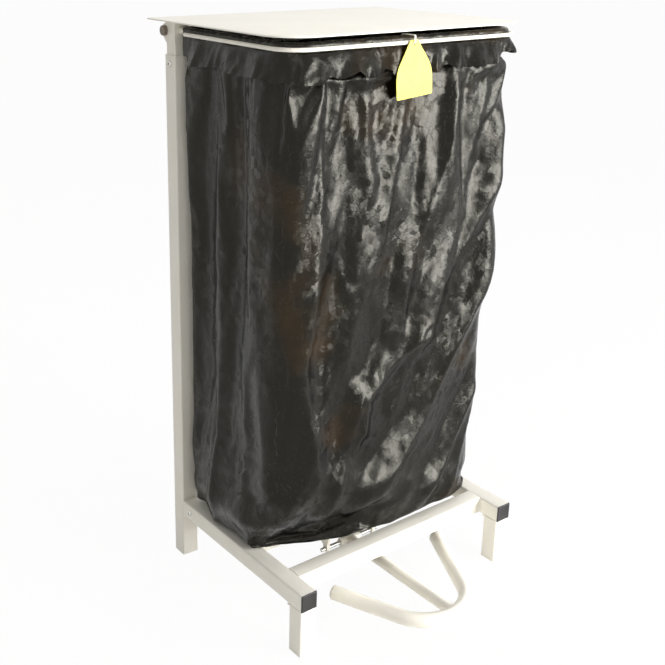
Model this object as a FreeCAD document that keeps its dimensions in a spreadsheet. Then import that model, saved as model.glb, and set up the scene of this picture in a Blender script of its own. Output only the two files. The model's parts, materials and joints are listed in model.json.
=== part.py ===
import FreeCAD, Part
import math
import os
import re
import sys

import Sketcher
from FreeCAD import Placement, Rotation, Vector

# Pedal-operated free-standing sack holder, in millimetres.
# +X is the holder's right, -Y its front (pedal side), +Z up.
# The origin is on the floor, midway between the pedal's nose and the lid's rear edge.

os.makedirs("parts", exist_ok=True)
doc = FreeCAD.newDocument("sack_holder")

# Driving sizes. "ahead" means towards the front, measured from the uprights' rear face.
SIZES = {
    # Square-tube frame
    "tube": 25,
    "tube_wall": 1.5,
    "frame_width": 390,
    "frame_depth": 310,
    "upright_height": 741,
    "rail_top": 93,
    "crossbar_setback": 36,
    "slip_gap": 0.2,
    "insert_depth": 120,
    "insert_rise": 15,
    "stub_length": 45,
    # Screws
    "screw_radius": 2.1,
    "screw_length": 12,
    "screw_head_radius": 4.2,
    "screw_head_height": 2.4,
    "screw_gap": 0.1,
    "upright_screw_drop": 11.5,
    "rail_screw_ahead": 18,
    # Rail end plugs
    "plug_flange": 1.5,
    "plug_depth": 14,
    "plug_wall": 2,
    # Lid and its hinge
    "lid_side_lap": 7,
    "lid_front_lap": 13.4,
    "lid_behind": 35,
    "lid_sheet": 2,
    "lid_lift": 12,
    "lid_front_radius": 45,
    "lid_rear_radius": 5,
    "hinge_lift": 15,
    "hinge_rod_radius": 4,
    "knuckle_radius": 9,
    "hinge_cap_radius": 6.5,
    "hinge_cap_length": 5,
    "hinge_cap_dome": 1.2,
    "cap_cover": 2,
    "block_spigot": 15,
    "seat_gap": 0.3,
    "run_gap": 0.05,
    "ear_thickness": 3,
    "ear_radius": 8,
    "ear_reach": 20,
    "ear_flange": 18,
    "flange_thickness": 2.5,
    "ear_gap": 0.7,
    # Sack rim, its rear rod and the clip wire
    "rim_radius": 4,
    "rim_inset": 11,
    "rim_lift": 1,
    "rim_ahead": 253.6,
    "rim_corner": 26,
    "rim_rear_ahead": 30,
    "rim_socket": 9,
    "clip_radius": 2.5,
    "clip_drop": 2.5,
    "clip_end_ahead": 45,
    # Sack film
    "film": 1,
    "film_gap": 0.3,
    "cuff_drop": 30,
    "cuff_rear_corner": 8,
    "neck_drop": 4,
    "shoulder_drop": 16,
    "shoulder_bulge": 4,
    "waist_height": 300,
    "waist_bulge": 1,
    "belly_height": 150,
    "belly_bulge": 5,
    "foot_inset": 4,
    "foot_lift": 0.5,
    "sack_front_corner": 34,
    "sack_rear_corner": 16,
    "foot_tuck": 60,
    "slit_width": 8.6,
    "slit_height": 2.4,
    # Pedal lever
    "pedal_height": 35,
    "pivot_ahead": 176,
    "pivot_setback": 4,
    "nose_ahead": 391.7,
    "loop_radius": 10,
    "loop_wall": 1.5,
    "loop_bend": 64.5,
    "loop_spread": 25.2,
    "loop_left_leg": 95,
    "loop_right_leg": 120,
    "loop_skew": 2.1,
    "loop_plug_depth": 12,
    "loop_plug_dome": 4,
    "arm_radius": 8,
    "arm_wall": 1.5,
    "weld_gap": 0.1,
    "cope_angle": 50,
    "pivot_tube_radius": 6,
    "pivot_tube_half": 18,
    "pivot_rod_radius": 3,
    "pivot_rod_half": 53.5,
    "lug_centre": 43.5,
    "lug_thickness": 5,
    "lug_tip": 5,
    "lug_top_depth": 13,
    # Clevis, push rod and crank
    "crank_radius": 15.5,
    "crank_angle": 35,
    "crank_inward": 3,
    "crank_outward": 1.3,
    "crank_slack": 0.7,
    "crank_cheek": 3,
    "crank_rim": 1.8,
    "crank_flange_half": 14,
    "push_rod_radius": 3,
    "guide_radius": 5,
    "eye_radius": 6,
    "eye_width": 5,
    "eye_neck": 20,
    "eye_gap": 0.3,
    "pin_radius": 2.5,
    "pin_proud": 1.5,
    "clevis_half": 6,
    "clevis_length": 20,
    "clevis_slot": 14,
    "clevis_spigot": 16,
    # Tag and its two loops
    "tag_half_width": 29.5,
    "tag_top_half": 5.5,
    "tag_above_hole": 5,
    "tag_below_hole": 64.5,
    "tag_shoulder": 31,
    "tag_shoulder_radius": 40,
    "tag_thickness": 1,
    "tag_hole_radius": 2.3,
    "tag_hole_drop": 4,
    "tag_corner": 3,
    "tag_gap": 1.4,
    "tag_offset": 6.4,
    "tag_tilt": 4.5,
    "strand_radius": 0.7,
    "strand_spread": 0.95,
    "strand_fan": 6,
    "strand_bend": 1.6,
    "strand_lift": 0.2,
}

# Places and sizes that several pieces share, as formulas of the driving sizes
PLACES = {
    "bend_reach": "nose_ahead-pivot_ahead-loop_bend",
    "pedal_front": "pivot_ahead+bend_reach*cos(loop_skew)+loop_bend+loop_radius",
    "back_face": "(pedal_front-lid_behind)/2",
    "front_face": "back_face-frame_depth",
    "side_axis": "frame_width/2-tube/2",
    "upright_axis": "back_face-tube/2",
    "rail_axis": "rail_top-tube/2",
    "rail_front": "front_face+plug_flange",
    "rail_rear": "back_face-tube",
    "insert_size": "tube-2*tube_wall-2*slip_gap",
    "insert_half": "insert_size/2",
    "insert_top": "upright_height+insert_rise",
    "block_outer": "side_axis+insert_half",
    "block_front": "upright_axis-insert_half",
    "rail_screw_y": "rail_rear-rail_screw_ahead",
    "upright_screw_z": "upright_height-upright_screw_drop",
    "crossbar_y": "front_face+crossbar_setback+tube/2",
    "bar_length": "frame_width-2*tube",
    "pivot_y": "back_face-pivot_ahead",
    "middle_bar_y": "pivot_y+pivot_setback+tube/2",
    "hinge_height": "insert_top+hinge_lift",
    "rim_height": "hinge_height+rim_lift",
    "lid_underside": "hinge_height+lid_lift",
    "lid_half": "frame_width/2+lid_side_lap",
    "lid_ahead": "rim_ahead+lid_front_lap",
    "rim_half": "frame_width/2-rim_inset",
    "rim_front": "back_face-rim_ahead",
    "rim_rear": "back_face-rim_rear_ahead",
    "rim_clear": "rim_radius+film_gap",
    "clip_offset": "rim_clear+film+film_gap+clip_radius",
    "clip_front": "rim_front-clip_offset",
    "clip_height": "rim_height-clip_drop",
    "crank_ahead": "crank_radius*cos(crank_angle)",
    "link_y": "back_face-crank_ahead",
    "link_top": "hinge_height-crank_radius*sin(crank_angle)",
    "fork_half": "eye_width/2+eye_gap+crank_cheek",
    "tag_y": "clip_front-clip_radius-tag_gap-tag_thickness/2",
    "tag_z": "rim_height-tag_hole_drop",
    "strand_low": "clip_height-clip_radius-film_gap-strand_radius",
}

sheet = doc.addObject("Spreadsheet::Sheet", "Sizes")
for row, (word, value) in enumerate(SIZES.items(), start=1):
    sheet.set(f"A{row}", word)
    sheet.set(f"B{row}", str(value))
    sheet.setAlias(f"B{row}", word)
doc.recompute()

WORDS = re.compile(r"[a-z]+(?:_[a-z]+)*")


def size(word):
    return float(sheet.get(word))


def spell_out(formula):
    """Replace the names of shared places by their formulas until only driving sizes are left."""
    while True:
        longer = WORDS.sub(lambda m: f"({PLACES[m[0]]})" if m[0] in PLACES else m[0], formula)
        if longer == formula:
            return formula
        formula = longer


def bind(thing, prop, formula):
    """Tie a property to a formula of size names on the sheet."""
    text = WORDS.sub(lambda m: f"Sizes.{m[0]}" if m[0] in SIZES else m[0], spell_out(formula))
    thing.setExpression(prop, text)


def number(formula):
    """Work out a formula of size names, where a shape's code needs its value."""
    sheet.set("D1", f"={spell_out(formula)}")
    sheet.recompute()
    return float(sheet.get("D1"))


def place(thing, x="0", y="0", z="0", turn=None):
    """Put a sub-part at a place given by formulas, turned by a fixed rotation."""
    if turn is not None:
        thing.Placement = Placement(Vector(0, 0, 0), turn)
    bind(thing, "Placement.Base.x", x)
    bind(thing, "Placement.Base.y", y)
    bind(thing, "Placement.Base.z", z)


UP = Vector(0, 0, 1)
ALONG_X = Rotation(Vector(0, 1, 0), 90)
SIDES = {"left": -1, "right": 1}
pieces = []


def piece(kind, name):
    thing = doc.addObject(kind, name)
    thing.Label = name
    pieces.append(thing)
    return thing


def sketch(body, role, name, lift=None):
    """Start a sketch on one of the body's origin planes, lifted along its normal by a formula."""
    plane = next(f for f in body.Origin.OriginFeatures if f.Role == role)
    drawing = body.newObject("Sketcher::SketchObject", name)
    drawing.AttachmentSupport = [(plane, "")]
    drawing.MapMode = "FlatFace"
    if lift is not None:
        bind(drawing, "AttachmentOffset.Base.z", lift)
    return drawing


def dimension(drawing, kind, formula, *where):
    """Add a named dimension to a sketch and tie it to the sheet."""
    index = drawing.addConstraint(Sketcher.Constraint(kind, *where, number(formula)))
    label = f"{kind.lower()}_{index}"
    drawing.renameConstraint(index, label)
    bind(drawing, f"Constraints.{label}", formula)


def fix_point(drawing, x, y, *point):
    dimension(drawing, "DistanceX", x, -1, 1, *point)
    dimension(drawing, "DistanceY", y, -1, 1, *point)


def outline(drawing, corners):
    """Draw a closed outline through corners that are pairs of formulas."""
    first = drawing.GeometryCount
    count = len(corners)
    points = [Vector(number(x), number(y), 0) for x, y in corners]
    for i, point in enumerate(points):
        drawing.addGeometry(Part.LineSegment(point, points[(i + 1) % count]), False)
    for i in range(count):
        joint = Sketcher.Constraint("Coincident", first + i, 2, first + (i + 1) % count, 1)
        drawing.addConstraint(joint)
    for i, (x, y) in enumerate(corners):
        fix_point(drawing, x, y, first + i, 1)


def rectangle(drawing, x_low, x_high, y_low, y_high):
    outline(drawing, [(x_low, y_low), (x_high, y_low), (x_high, y_high), (x_low, y_high)])


def circle(drawing, x, y, radius):
    centre = Vector(number(x), number(y), 0)
    index = drawing.addGeometry(Part.Circle(centre, UP, number(radius)), False)
    fix_point(drawing, x, y, index, 3)
    dimension(drawing, "Radius", radius, index)


def slot(drawing, x_one, y_one, x_two, y_two, radius):
    """Draw a round-ended slot between two centres given by formulas."""
    one = Vector(number(x_one), number(y_one), 0)
    two = Vector(number(x_two), number(y_two), 0)
    reach = number(radius)
    along = math.atan2(two.y - one.y, two.x - one.x)
    quarter = math.pi / 2
    side = Vector(-math.sin(along), math.cos(along), 0) * reach
    drawing.addGeometry(Part.LineSegment(one - side, two - side), False)
    far_end = Part.ArcOfCircle(Part.Circle(two, UP, reach), along - quarter, along + quarter)
    drawing.addGeometry(far_end, False)
    drawing.addGeometry(Part.LineSegment(two + side, one + side), False)
    near_end = Part.ArcOfCircle(Part.Circle(one, UP, reach), along + quarter, along + 3 * quarter)
    drawing.addGeometry(near_end, False)
    for i in range(4):
        drawing.addConstraint(Sketcher.Constraint("Tangent", i, 2, (i + 1) % 4, 1))
    fix_point(drawing, x_one, y_one, 3, 3)
    fix_point(drawing, x_two, y_two, 1, 3)
    dimension(drawing, "Radius", radius, 1)


def feature(body, kind, drawing, formula, name, centred, reverse):
    step = body.newObject(f"PartDesign::{kind}", name)
    step.Profile = drawing
    bind(step, "Length", formula)
    step.Midplane = centred
    step.Reversed = reverse
    return step


def pad(body, drawing, formula, centred=False, reverse=False):
    return feature(body, "Pad", drawing, formula, f"{drawing.Name}_pad", centred, reverse)


def pocket(body, drawing, formula, centred=False, reverse=False):
    return feature(body, "Pocket", drawing, formula, f"{drawing.Name}_cut", centred, reverse)


def round_edges(body, radius, name, chosen):
    """Fillet those edges of the body so far for which chosen(edge) is true."""
    doc.recompute()
    tip = body.Tip
    names = [f"Edge{i + 1}" for i, edge in enumerate(tip.Shape.Edges) if chosen(edge)]
    step = body.newObject("PartDesign::Fillet", name)
    step.Base = (tip, names)
    bind(step, "Radius", radius)
    return step


def sweep(body, section, path, name):
    doc.recompute()
    step = body.newObject("PartDesign::AdditivePipe", name)
    step.Profile = section
    step.Spine = (path, [f"Edge{i + 1}" for i in range(path.GeometryCount)])
    return step


def square_tube(name, along, length, wide="tube"):
    """A square tube centred on its own axis, from its origin along +X, +Y or +Z."""
    body = piece("PartDesign::Body", name)
    role = {"X": "YZ_Plane", "Y": "XZ_Plane", "Z": "XY_Plane"}[along]
    section = sketch(body, role, f"{name}_section")
    half = f"({wide})/2"
    inner = f"({half}-tube_wall)"
    rectangle(section, f"-{half}", half, f"-{half}", half)
    rectangle(section, f"-{inner}", inner, f"-{inner}", inner)
    pad(body, section, length, reverse=(along == "Y"))
    return body


def wall_hole(body, side, y, z):
    """Drill a tube's outer side wall for a screw."""
    hole = sketch(body, "YZ_Plane", f"{body.Name}_hole")
    circle(hole, y, z, "screw_radius+screw_gap")
    pocket(body, hole, "tube", reverse=(side > 0))


def build_rod(name, radius, half, y, z):
    """A plain rod or pin across the holder, centred on its middle plane."""
    solid = piece("Part::Cylinder", name)
    bind(solid, "Radius", radius)
    bind(solid, "Height", f"2*({half})")
    place(solid, f"-({half})", y, z, ALONG_X)


def mirrored(side, formula):
    return formula if side > 0 else f"-{formula}"


def build_upright(word, side):
    body = square_tube(f"{word}_upright", "Z", "upright_height")
    wall_hole(body, side, "0", "upright_screw_z")
    place(body, mirrored(side, "side_axis"), "upright_axis")


def build_rail(word, side):
    """Side rail: its rear end slips over the upright's stub and is screwed to it."""
    body = square_tube(f"{word}_side_rail", "Y", "rail_rear-rail_front")
    wall_hole(body, side, "rail_screw_y-rail_front", "0")
    place(body, mirrored(side, "side_axis"), "rail_front", "rail_axis")


def build_stub(word, side):
    body = square_tube(f"{word}_rail_stub", "Y", "stub_length", "insert_size")
    wall_hole(body, side, "stub_length-rail_screw_ahead", "0")
    place(body, mirrored(side, "side_axis"), "rail_rear-stub_length", "rail_axis")


def build_leg(word, side):
    body = square_tube(f"{word}_front_leg", "Z", "rail_top-tube")
    place(body, mirrored(side, "side_axis"), "rail_front+tube/2")


def build_top_leg(word, side):
    """Smaller tube that slips into the upright and carries the hinge block."""
    body = square_tube(f"{word}_top_leg", "Z", "insert_depth+insert_rise", "insert_size")
    wall_hole(body, side, "0", "insert_depth-upright_screw_drop")
    place(body, mirrored(side, "side_axis"), "upright_axis", "upright_height-insert_depth")


def build_bar(name, y):
    body = square_tube(name, "X", "bar_length")
    place(body, "-bar_length/2", y, "rail_axis")
    return body


def build_rear_bar():
    """Bar between the uprights, drilled through so that the push rod runs up inside it."""
    body = build_bar("rear_crossbar", "upright_axis")
    guide = sketch(body, "XY_Plane", "rear_crossbar_guide")
    circle(guide, "bar_length/2", "link_y-upright_axis", "guide_radius")
    pocket(body, guide, "2*tube", centred=True)


def build_screw(name, side, y, z):
    """Pan-head screw driven inwards through a tube's outer wall."""
    body = piece("PartDesign::Body", name)
    shank = sketch(body, "YZ_Plane", f"{name}_shank")
    circle(shank, "0", "0", "screw_radius")
    pad(body, shank, "screw_length", reverse=(side > 0))
    head = sketch(body, "YZ_Plane", f"{name}_head")
    circle(head, "0", "0", "screw_head_radius")
    pad(body, head, "screw_head_height", reverse=(side < 0))
    face = side * size("screw_head_height")
    round_edges(body, "screw_head_height/2", f"{name}_pan", lambda edge: lies_at_x(edge, face))
    place(body, mirrored(side, "(frame_width/2)"), y, z)


def lies_at_x(edge, x):
    return abs(edge.BoundBox.XMin - x) < 0.01 and abs(edge.BoundBox.XMax - x) < 0.01


def build_rail_plug(word, side):
    """Black end plug: a square flange over the rail's open end and a hollow skirt inside it."""
    name = f"{word}_rail_plug"
    body = piece("PartDesign::Body", name)
    flange = sketch(body, "XZ_Plane", f"{name}_flange")
    rectangle(flange, "-tube/2", "tube/2", "-tube/2", "tube/2")
    pad(body, flange, "plug_flange")
    skirt = sketch(body, "XZ_Plane", f"{name}_skirt")
    inner = "(insert_half-plug_wall)"
    rectangle(skirt, "-insert_half", "insert_half", "-insert_half", "insert_half")
    rectangle(skirt, f"-{inner}", inner, f"-{inner}", inner)
    pad(body, skirt, "plug_depth", reverse=True)
    place(body, mirrored(side, "side_axis"), "rail_front", "rail_axis")


def build_hinge_block(word, side):
    """Block on the top leg: a spigot below, a knuckle for the hinge rod, a socket for the rim."""
    name = f"{word}_hinge_block"
    body = piece("PartDesign::Body", name)
    back = "(tube/2)"
    top = "(lid_underside-seat_gap-insert_top)"
    hinge = "(hinge_height-insert_top)"
    profile = sketch(body, "YZ_Plane", f"{name}_profile")
    outline(profile, [
        ("-insert_half", "0"),
        ("insert_half", "0"),
        (f"{back}+knuckle_radius*cos(45)", f"{hinge}-knuckle_radius*sin(45)"),
        (back, hinge),
        (back, top),
        ("-insert_half", top),
    ])
    pad(body, profile, "insert_size", centred=True)
    knuckle = sketch(body, "YZ_Plane", f"{name}_knuckle")
    circle(knuckle, back, hinge, "knuckle_radius")
    pad(body, knuckle, "insert_size", centred=True)
    spigot = sketch(body, "XY_Plane", f"{name}_spigot")
    inner = "(insert_half-tube_wall-slip_gap)"
    rectangle(spigot, f"-{inner}", inner, f"-{inner}", inner)
    pad(body, spigot, "block_spigot", reverse=True)
    bore = sketch(body, "YZ_Plane", f"{name}_bore")
    circle(bore, back, hinge, "hinge_rod_radius+run_gap")
    pocket(body, bore, "2*tube", centred=True)
    socket = sketch(body, "XZ_Plane", f"{name}_socket", lift="insert_half")
    offset = "(rim_half-side_axis)"
    circle(socket, mirrored(side, offset), "rim_height-insert_top", "rim_radius+run_gap")
    pocket(body, socket, "rim_socket")
    place(body, mirrored(side, "side_axis"), "upright_axis", "insert_top")


def build_hinge_cap(word, side):
    """Domed cap pushed on the end of the hinge rod."""
    name = f"{word}_hinge_cap"
    body = piece("PartDesign::Body", name)
    disc = sketch(body, "YZ_Plane", f"{name}_disc")
    circle(disc, "0", "0", "hinge_cap_radius")
    pad(body, disc, "hinge_cap_length", reverse=(side < 0))
    bore = sketch(body, "YZ_Plane", f"{name}_bore")
    circle(bore, "0", "0", "hinge_rod_radius+run_gap")
    pocket(body, bore, "hinge_cap_length-cap_cover", reverse=(side > 0))
    face = side * size("hinge_cap_length")
    round_edges(body, "hinge_cap_dome", f"{name}_dome", lambda edge: lies_at_x(edge, face))
    place(body, mirrored(side, "(block_outer+seat_gap)"), "back_face", "hinge_height")


def build_bent_rod(name, radius, half, run_rear, run_front, bend, height):
    """A rod bent into a U: two side runs, two round corners and a front run."""
    body = piece("PartDesign::Body", name)
    path = sketch(body, "XY_Plane", f"{name}_path")
    length = f"({run_rear}-{run_front})"
    side_x = number(half)
    bend_size = number(bend)
    run = number(length)
    inner = side_x - bend_size
    left_turn = Part.Circle(Vector(-inner, bend_size, 0), UP, bend_size)
    right_turn = Part.Circle(Vector(inner, bend_size, 0), UP, bend_size)
    path.addGeometry(Part.LineSegment(Vector(-side_x, run, 0), Vector(-side_x, bend_size, 0)), False)
    path.addGeometry(Part.ArcOfCircle(left_turn, math.pi, 1.5 * math.pi), False)
    path.addGeometry(Part.LineSegment(Vector(-inner, 0, 0), Vector(inner, 0, 0)), False)
    path.addGeometry(Part.ArcOfCircle(right_turn, 1.5 * math.pi, 2 * math.pi), False)
    path.addGeometry(Part.LineSegment(Vector(side_x, bend_size, 0), Vector(side_x, run, 0)), False)
    for i in range(4):
        path.addConstraint(Sketcher.Constraint("Coincident", i, 2, i + 1, 1))
    fix_point(path, f"-{half}", length, 0, 1)
    fix_point(path, f"-{half}", bend, 0, 2)
    fix_point(path, f"{bend}-{half}", "0", 2, 1)
    fix_point(path, f"{half}-{bend}", "0", 2, 2)
    fix_point(path, half, bend, 4, 1)
    fix_point(path, half, length, 4, 2)
    dimension(path, "Radius", bend, 1)
    dimension(path, "Radius", bend, 3)
    section = sketch(body, "XZ_Plane", f"{name}_section", lift=f"-{length}")
    circle(section, f"-{half}", "0", radius)
    sweep(body, section, path, f"{name}_sweep")
    place(body, "0", run_front, height)


def build_rear_rod():
    """Rod welded across the rim, between its side runs."""
    half = "(rim_half-rim_radius)"
    build_rod("rim_rear_rod", "rim_radius", half, "rim_rear", "rim_height")


def build_lid_sheet():
    body = piece("PartDesign::Body", "lid_sheet")
    plan = sketch(body, "XY_Plane", "lid_sheet_plan")
    rectangle(plan, "-lid_half", "lid_half", "-lid_ahead", "lid_behind")
    pad(body, plan, "lid_sheet")
    for end, facing in (("front", -1), ("rear", 1)):
        round_edges(body, f"lid_{end}_radius", f"lid_{end}_corners",
                    lambda edge, facing=facing: stands_up(edge) and edge.CenterOfMass.y * facing > 0)
    place(body, "0", "back_face", "lid_underside")


def stands_up(edge):
    bounds = edge.BoundBox
    return bounds.ZLength > 0.5 * size("lid_sheet") and bounds.XLength + bounds.YLength < 0.01


def build_lid_ear(word, side):
    """Angle bracket welded under the lid; its eye turns on the hinge rod beside the block."""
    name = f"{word}_lid_ear"
    body = piece("PartDesign::Body", name)
    cheek = sketch(body, "YZ_Plane", f"{name}_cheek")
    outline(cheek, [
        ("-ear_radius", "0"),
        ("ear_radius", "0"),
        ("ear_radius", "lid_lift"),
        ("-ear_reach", "lid_lift"),
        ("-ear_reach", "lid_lift-flange_thickness"),
    ])
    pad(body, cheek, "ear_thickness", reverse=(side > 0))
    eye = sketch(body, "YZ_Plane", f"{name}_eye")
    circle(eye, "0", "0", "ear_radius")
    pad(body, eye, "ear_thickness", reverse=(side > 0))
    flange = sketch(body, "YZ_Plane", f"{name}_flange")
    rectangle(flange, "-ear_reach", "ear_radius", "lid_lift-flange_thickness", "lid_lift")
    pad(body, flange, "ear_flange", reverse=(side > 0))
    bore = sketch(body, "YZ_Plane", f"{name}_bore")
    circle(bore, "0", "0", "hinge_rod_radius+run_gap")
    pocket(body, bore, "2*ear_flange", centred=True)
    inner = "(side_axis-insert_half-ear_gap)"
    place(body, mirrored(side, inner), "back_face", "hinge_height")


def build_crank_fork():
    """Fork welded under the lid: two cheeks on the hinge rod with a slot for the crank pin."""
    body = piece("PartDesign::Body", "crank_fork")
    tip = "(crank_radius+crank_outward)"
    slot_half = "(pin_radius+crank_slack)"
    rim = f"({slot_half}+crank_rim)"
    tip_y = f"({tip}*cos(crank_angle))"
    tip_z = f"({tip}*sin(crank_angle))"
    front = f"({tip_y}+{rim})"
    cheeks = sketch(body, "YZ_Plane", "crank_fork_cheeks")
    outline(cheeks, [
        (f"-{front}", "lid_lift"),
        (f"-{front}", f"-{tip_z}"),
        (f"-{tip_y}+{rim}*sin(crank_angle)", f"-{tip_z}-{rim}*cos(crank_angle)"),
        ("ear_radius*sin(crank_angle)", "-ear_radius*cos(crank_angle)"),
        ("ear_radius", "0"),
        ("ear_radius", "lid_lift"),
    ])
    pad(body, cheeks, "2*fork_half", centred=True)
    for word, y, z, radius in (("eye", "0", "0", "ear_radius"), ("nose", f"-{tip_y}", f"-{tip_z}", rim)):
        disc = sketch(body, "YZ_Plane", f"crank_fork_{word}")
        circle(disc, y, z, radius)
        pad(body, disc, "2*fork_half", centred=True)
    flange = sketch(body, "YZ_Plane", "crank_fork_flange")
    rectangle(flange, f"-{front}", "ear_radius", "lid_lift-flange_thickness", "lid_lift")
    pad(body, flange, "2*crank_flange_half", centred=True)
    throat = sketch(body, "YZ_Plane", "crank_fork_throat")
    rectangle(throat, f"-2*{front}", "2*ear_radius", f"-2*{front}", "lid_lift-flange_thickness")
    pocket(body, throat, "eye_width+2*eye_gap", centred=True)
    bore = sketch(body, "YZ_Plane", "crank_fork_bore")
    circle(bore, "0", "0", "hinge_rod_radius+run_gap")
    pocket(body, bore, "4*fork_half", centred=True)
    track = sketch(body, "YZ_Plane", "crank_fork_track")
    near = "(crank_radius-crank_inward)"
    slot(track, f"-{near}*cos(crank_angle)", f"-{near}*sin(crank_angle)", f"-{tip_y}", f"-{tip_z}", slot_half)
    pocket(body, track, "4*fork_half", centred=True)
    place(body, "0", "back_face", "hinge_height")


def build_pivot_lug(word, side):
    """Plate welded under the middle crossbar; its narrow tip holds the pivot rod."""
    name = f"{word}_pivot_lug"
    body = piece("PartDesign::Body", name)
    rise = "(rail_top-tube-pedal_height)"
    rear = "(pivot_setback+tube)"
    profile = sketch(body, "YZ_Plane", f"{name}_profile")
    outline(profile, [
        ("-lug_tip", "0"),
        ("lug_tip", "0"),
        ("lug_tip", "lug_tip"),
        (rear, f"{rise}-lug_top_depth"),
        (rear, rise),
        ("-lug_tip", rise),
    ])
    pad(body, profile, "lug_thickness", centred=True)
    tip = sketch(body, "YZ_Plane", f"{name}_end")
    circle(tip, "0", "0", "lug_tip")
    pad(body, tip, "lug_thickness", centred=True)
    bore = sketch(body, "YZ_Plane", f"{name}_bore")
    circle(bore, "0", "0", "pivot_rod_radius+run_gap")
    pocket(body, bore, "2*lug_thickness", centred=True)
    place(body, mirrored(side, "lug_centre"), "pivot_y", "pedal_height")


def build_pivot_tube():
    """Bearing tube welded across the pedal arm, turning on the pivot rod."""
    body = piece("PartDesign::Body", "pivot_tube")
    section = sketch(body, "YZ_Plane", "pivot_tube_section")
    circle(section, "0", "0", "pivot_tube_radius")
    circle(section, "0", "0", "pivot_rod_radius+run_gap")
    pad(body, section, "2*pivot_tube_half", centred=True)
    place(body, "0", "pivot_y", "pedal_height")


def build_pedal_arm():
    """Round tube from the loop's nose to the clevis, crossed by the bearing tube."""
    body = piece("PartDesign::Body", "pedal_arm")
    rear = "(pivot_ahead-crank_ahead+clevis_half-clevis_length)"
    front = "(nose_ahead-pivot_ahead)"
    section = sketch(body, "XZ_Plane", "pedal_arm_section", lift=front)
    circle(section, "0", "0", "arm_radius")
    circle(section, "0", "0", "arm_radius-arm_wall")
    pad(body, section, f"{front}+{rear}", reverse=True)
    cross = sketch(body, "YZ_Plane", "pedal_arm_cross")
    circle(cross, "0", "0", "pivot_tube_radius+run_gap")
    pocket(body, cross, "4*arm_radius", centred=True)
    cope = sketch(body, "YZ_Plane", "pedal_arm_cope", lift="-bend_reach*sin(loop_skew)")
    bind(cope, "AttachmentOffset.Base.x", "-bend_reach*cos(loop_skew)")
    circle(cope, "-loop_bend", "0", "loop_radius+weld_gap")
    doc.recompute()
    groove = body.newObject("PartDesign::Groove", "pedal_arm_coping")
    groove.Profile = cope
    groove.ReferenceAxis = (cope, ["V_Axis"])
    groove.Midplane = True
    groove.Angle = size("cope_angle")
    place(body, "0", "pivot_y", "pedal_height")


def loop_leg(side, leg):
    """Tangent point and free end of one leg of the pedal loop, as formulas from the pivot."""
    tangent_x = "(loop_bend*cos(loop_spread))"
    tangent_y = "(-bend_reach-loop_bend*sin(loop_spread))"
    end_x = f"({tangent_x}+{leg}*sin(loop_spread))"
    end_y = f"({tangent_y}+{leg}*cos(loop_spread))"
    return mirrored(side, tangent_x), tangent_y, mirrored(side, end_x), end_y


def build_pedal_loop():
    """Tube bent into a V with a round nose; it was welded on slightly askew."""
    body = piece("PartDesign::Body", "pedal_loop")
    path = sketch(body, "XY_Plane", "pedal_loop_path")
    left = loop_leg(-1, "loop_left_leg")
    right = loop_leg(1, "loop_right_leg")
    left_bend, left_end = (Vector(number(x), number(y), 0) for x, y in (left[:2], left[2:]))
    right_bend, right_end = (Vector(number(x), number(y), 0) for x, y in (right[:2], right[2:]))
    spread = math.radians(size("loop_spread"))
    nose = Part.Circle(Vector(0, -number("bend_reach"), 0), UP, size("loop_bend"))
    path.addGeometry(Part.LineSegment(left_end, left_bend), False)
    path.addGeometry(Part.ArcOfCircle(nose, math.pi + spread, 2 * math.pi - spread), False)
    path.addGeometry(Part.LineSegment(right_bend, right_end), False)
    for i in range(2):
        path.addConstraint(Sketcher.Constraint("Coincident", i, 2, i + 1, 1))
    fix_point(path, left[2], left[3], 0, 1)
    fix_point(path, left[0], left[1], 0, 2)
    fix_point(path, right[0], right[1], 2, 1)
    fix_point(path, right[2], right[3], 2, 2)
    dimension(path, "Radius", "loop_bend", 1)
    section = sketch(body, "XZ_Plane", "pedal_loop_section", lift=f"-{left[3]}")
    section.AttachmentOffset = Placement(Vector(0, 0, 0), Rotation(Vector(0, 1, 0), 1))
    bind(section, "AttachmentOffset.Rotation.Angle", "loop_spread")
    bind(section, "AttachmentOffset.Base.x", left[2])
    circle(section, "0", "0", "loop_radius")
    circle(section, "0", "0", "loop_radius-loop_wall")
    sweep(body, section, path, "pedal_loop_sweep")
    place(body, "0", "pivot_y", "pedal_height", Rotation(Vector(0, 0, -1), 1))
    bind(body, "Placement.Rotation.Angle", "loop_skew")


def build_loop_plug(word, side):
    """Domed plug in the free end of a leg of the pedal loop."""
    name = f"{word}_loop_plug"
    body = piece("PartDesign::Body", name)
    dome = sketch(body, "XZ_Plane", f"{name}_dome")
    circle(dome, "0", "0", "loop_radius")
    pad(body, dome, "loop_plug_dome", reverse=True)
    end = size("loop_plug_dome")
    round_edges(body, "0.9*loop_plug_dome", f"{name}_rounding",
                lambda edge: abs(edge.BoundBox.YMin - end) < 0.01)
    spigot = sketch(body, "XZ_Plane", f"{name}_spigot")
    circle(spigot, "0", "0", "loop_radius-loop_wall-slip_gap")
    pad(body, spigot, "loop_plug_depth")
    x, y = loop_leg(side, f"loop_{word}_leg")[2:]
    turned_x = f"({x}*cos(loop_skew)+{y}*sin(loop_skew))"
    turned_y = f"({y}*cos(loop_skew)-{x}*sin(loop_skew))"
    place(body, turned_x, f"pivot_y+{turned_y}", "pedal_height", Rotation(Vector(0, 0, -side), 1))
    bind(body, "Placement.Rotation.Angle", "loop_spread-loop_skew" if side < 0 else "loop_spread+loop_skew")


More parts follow.
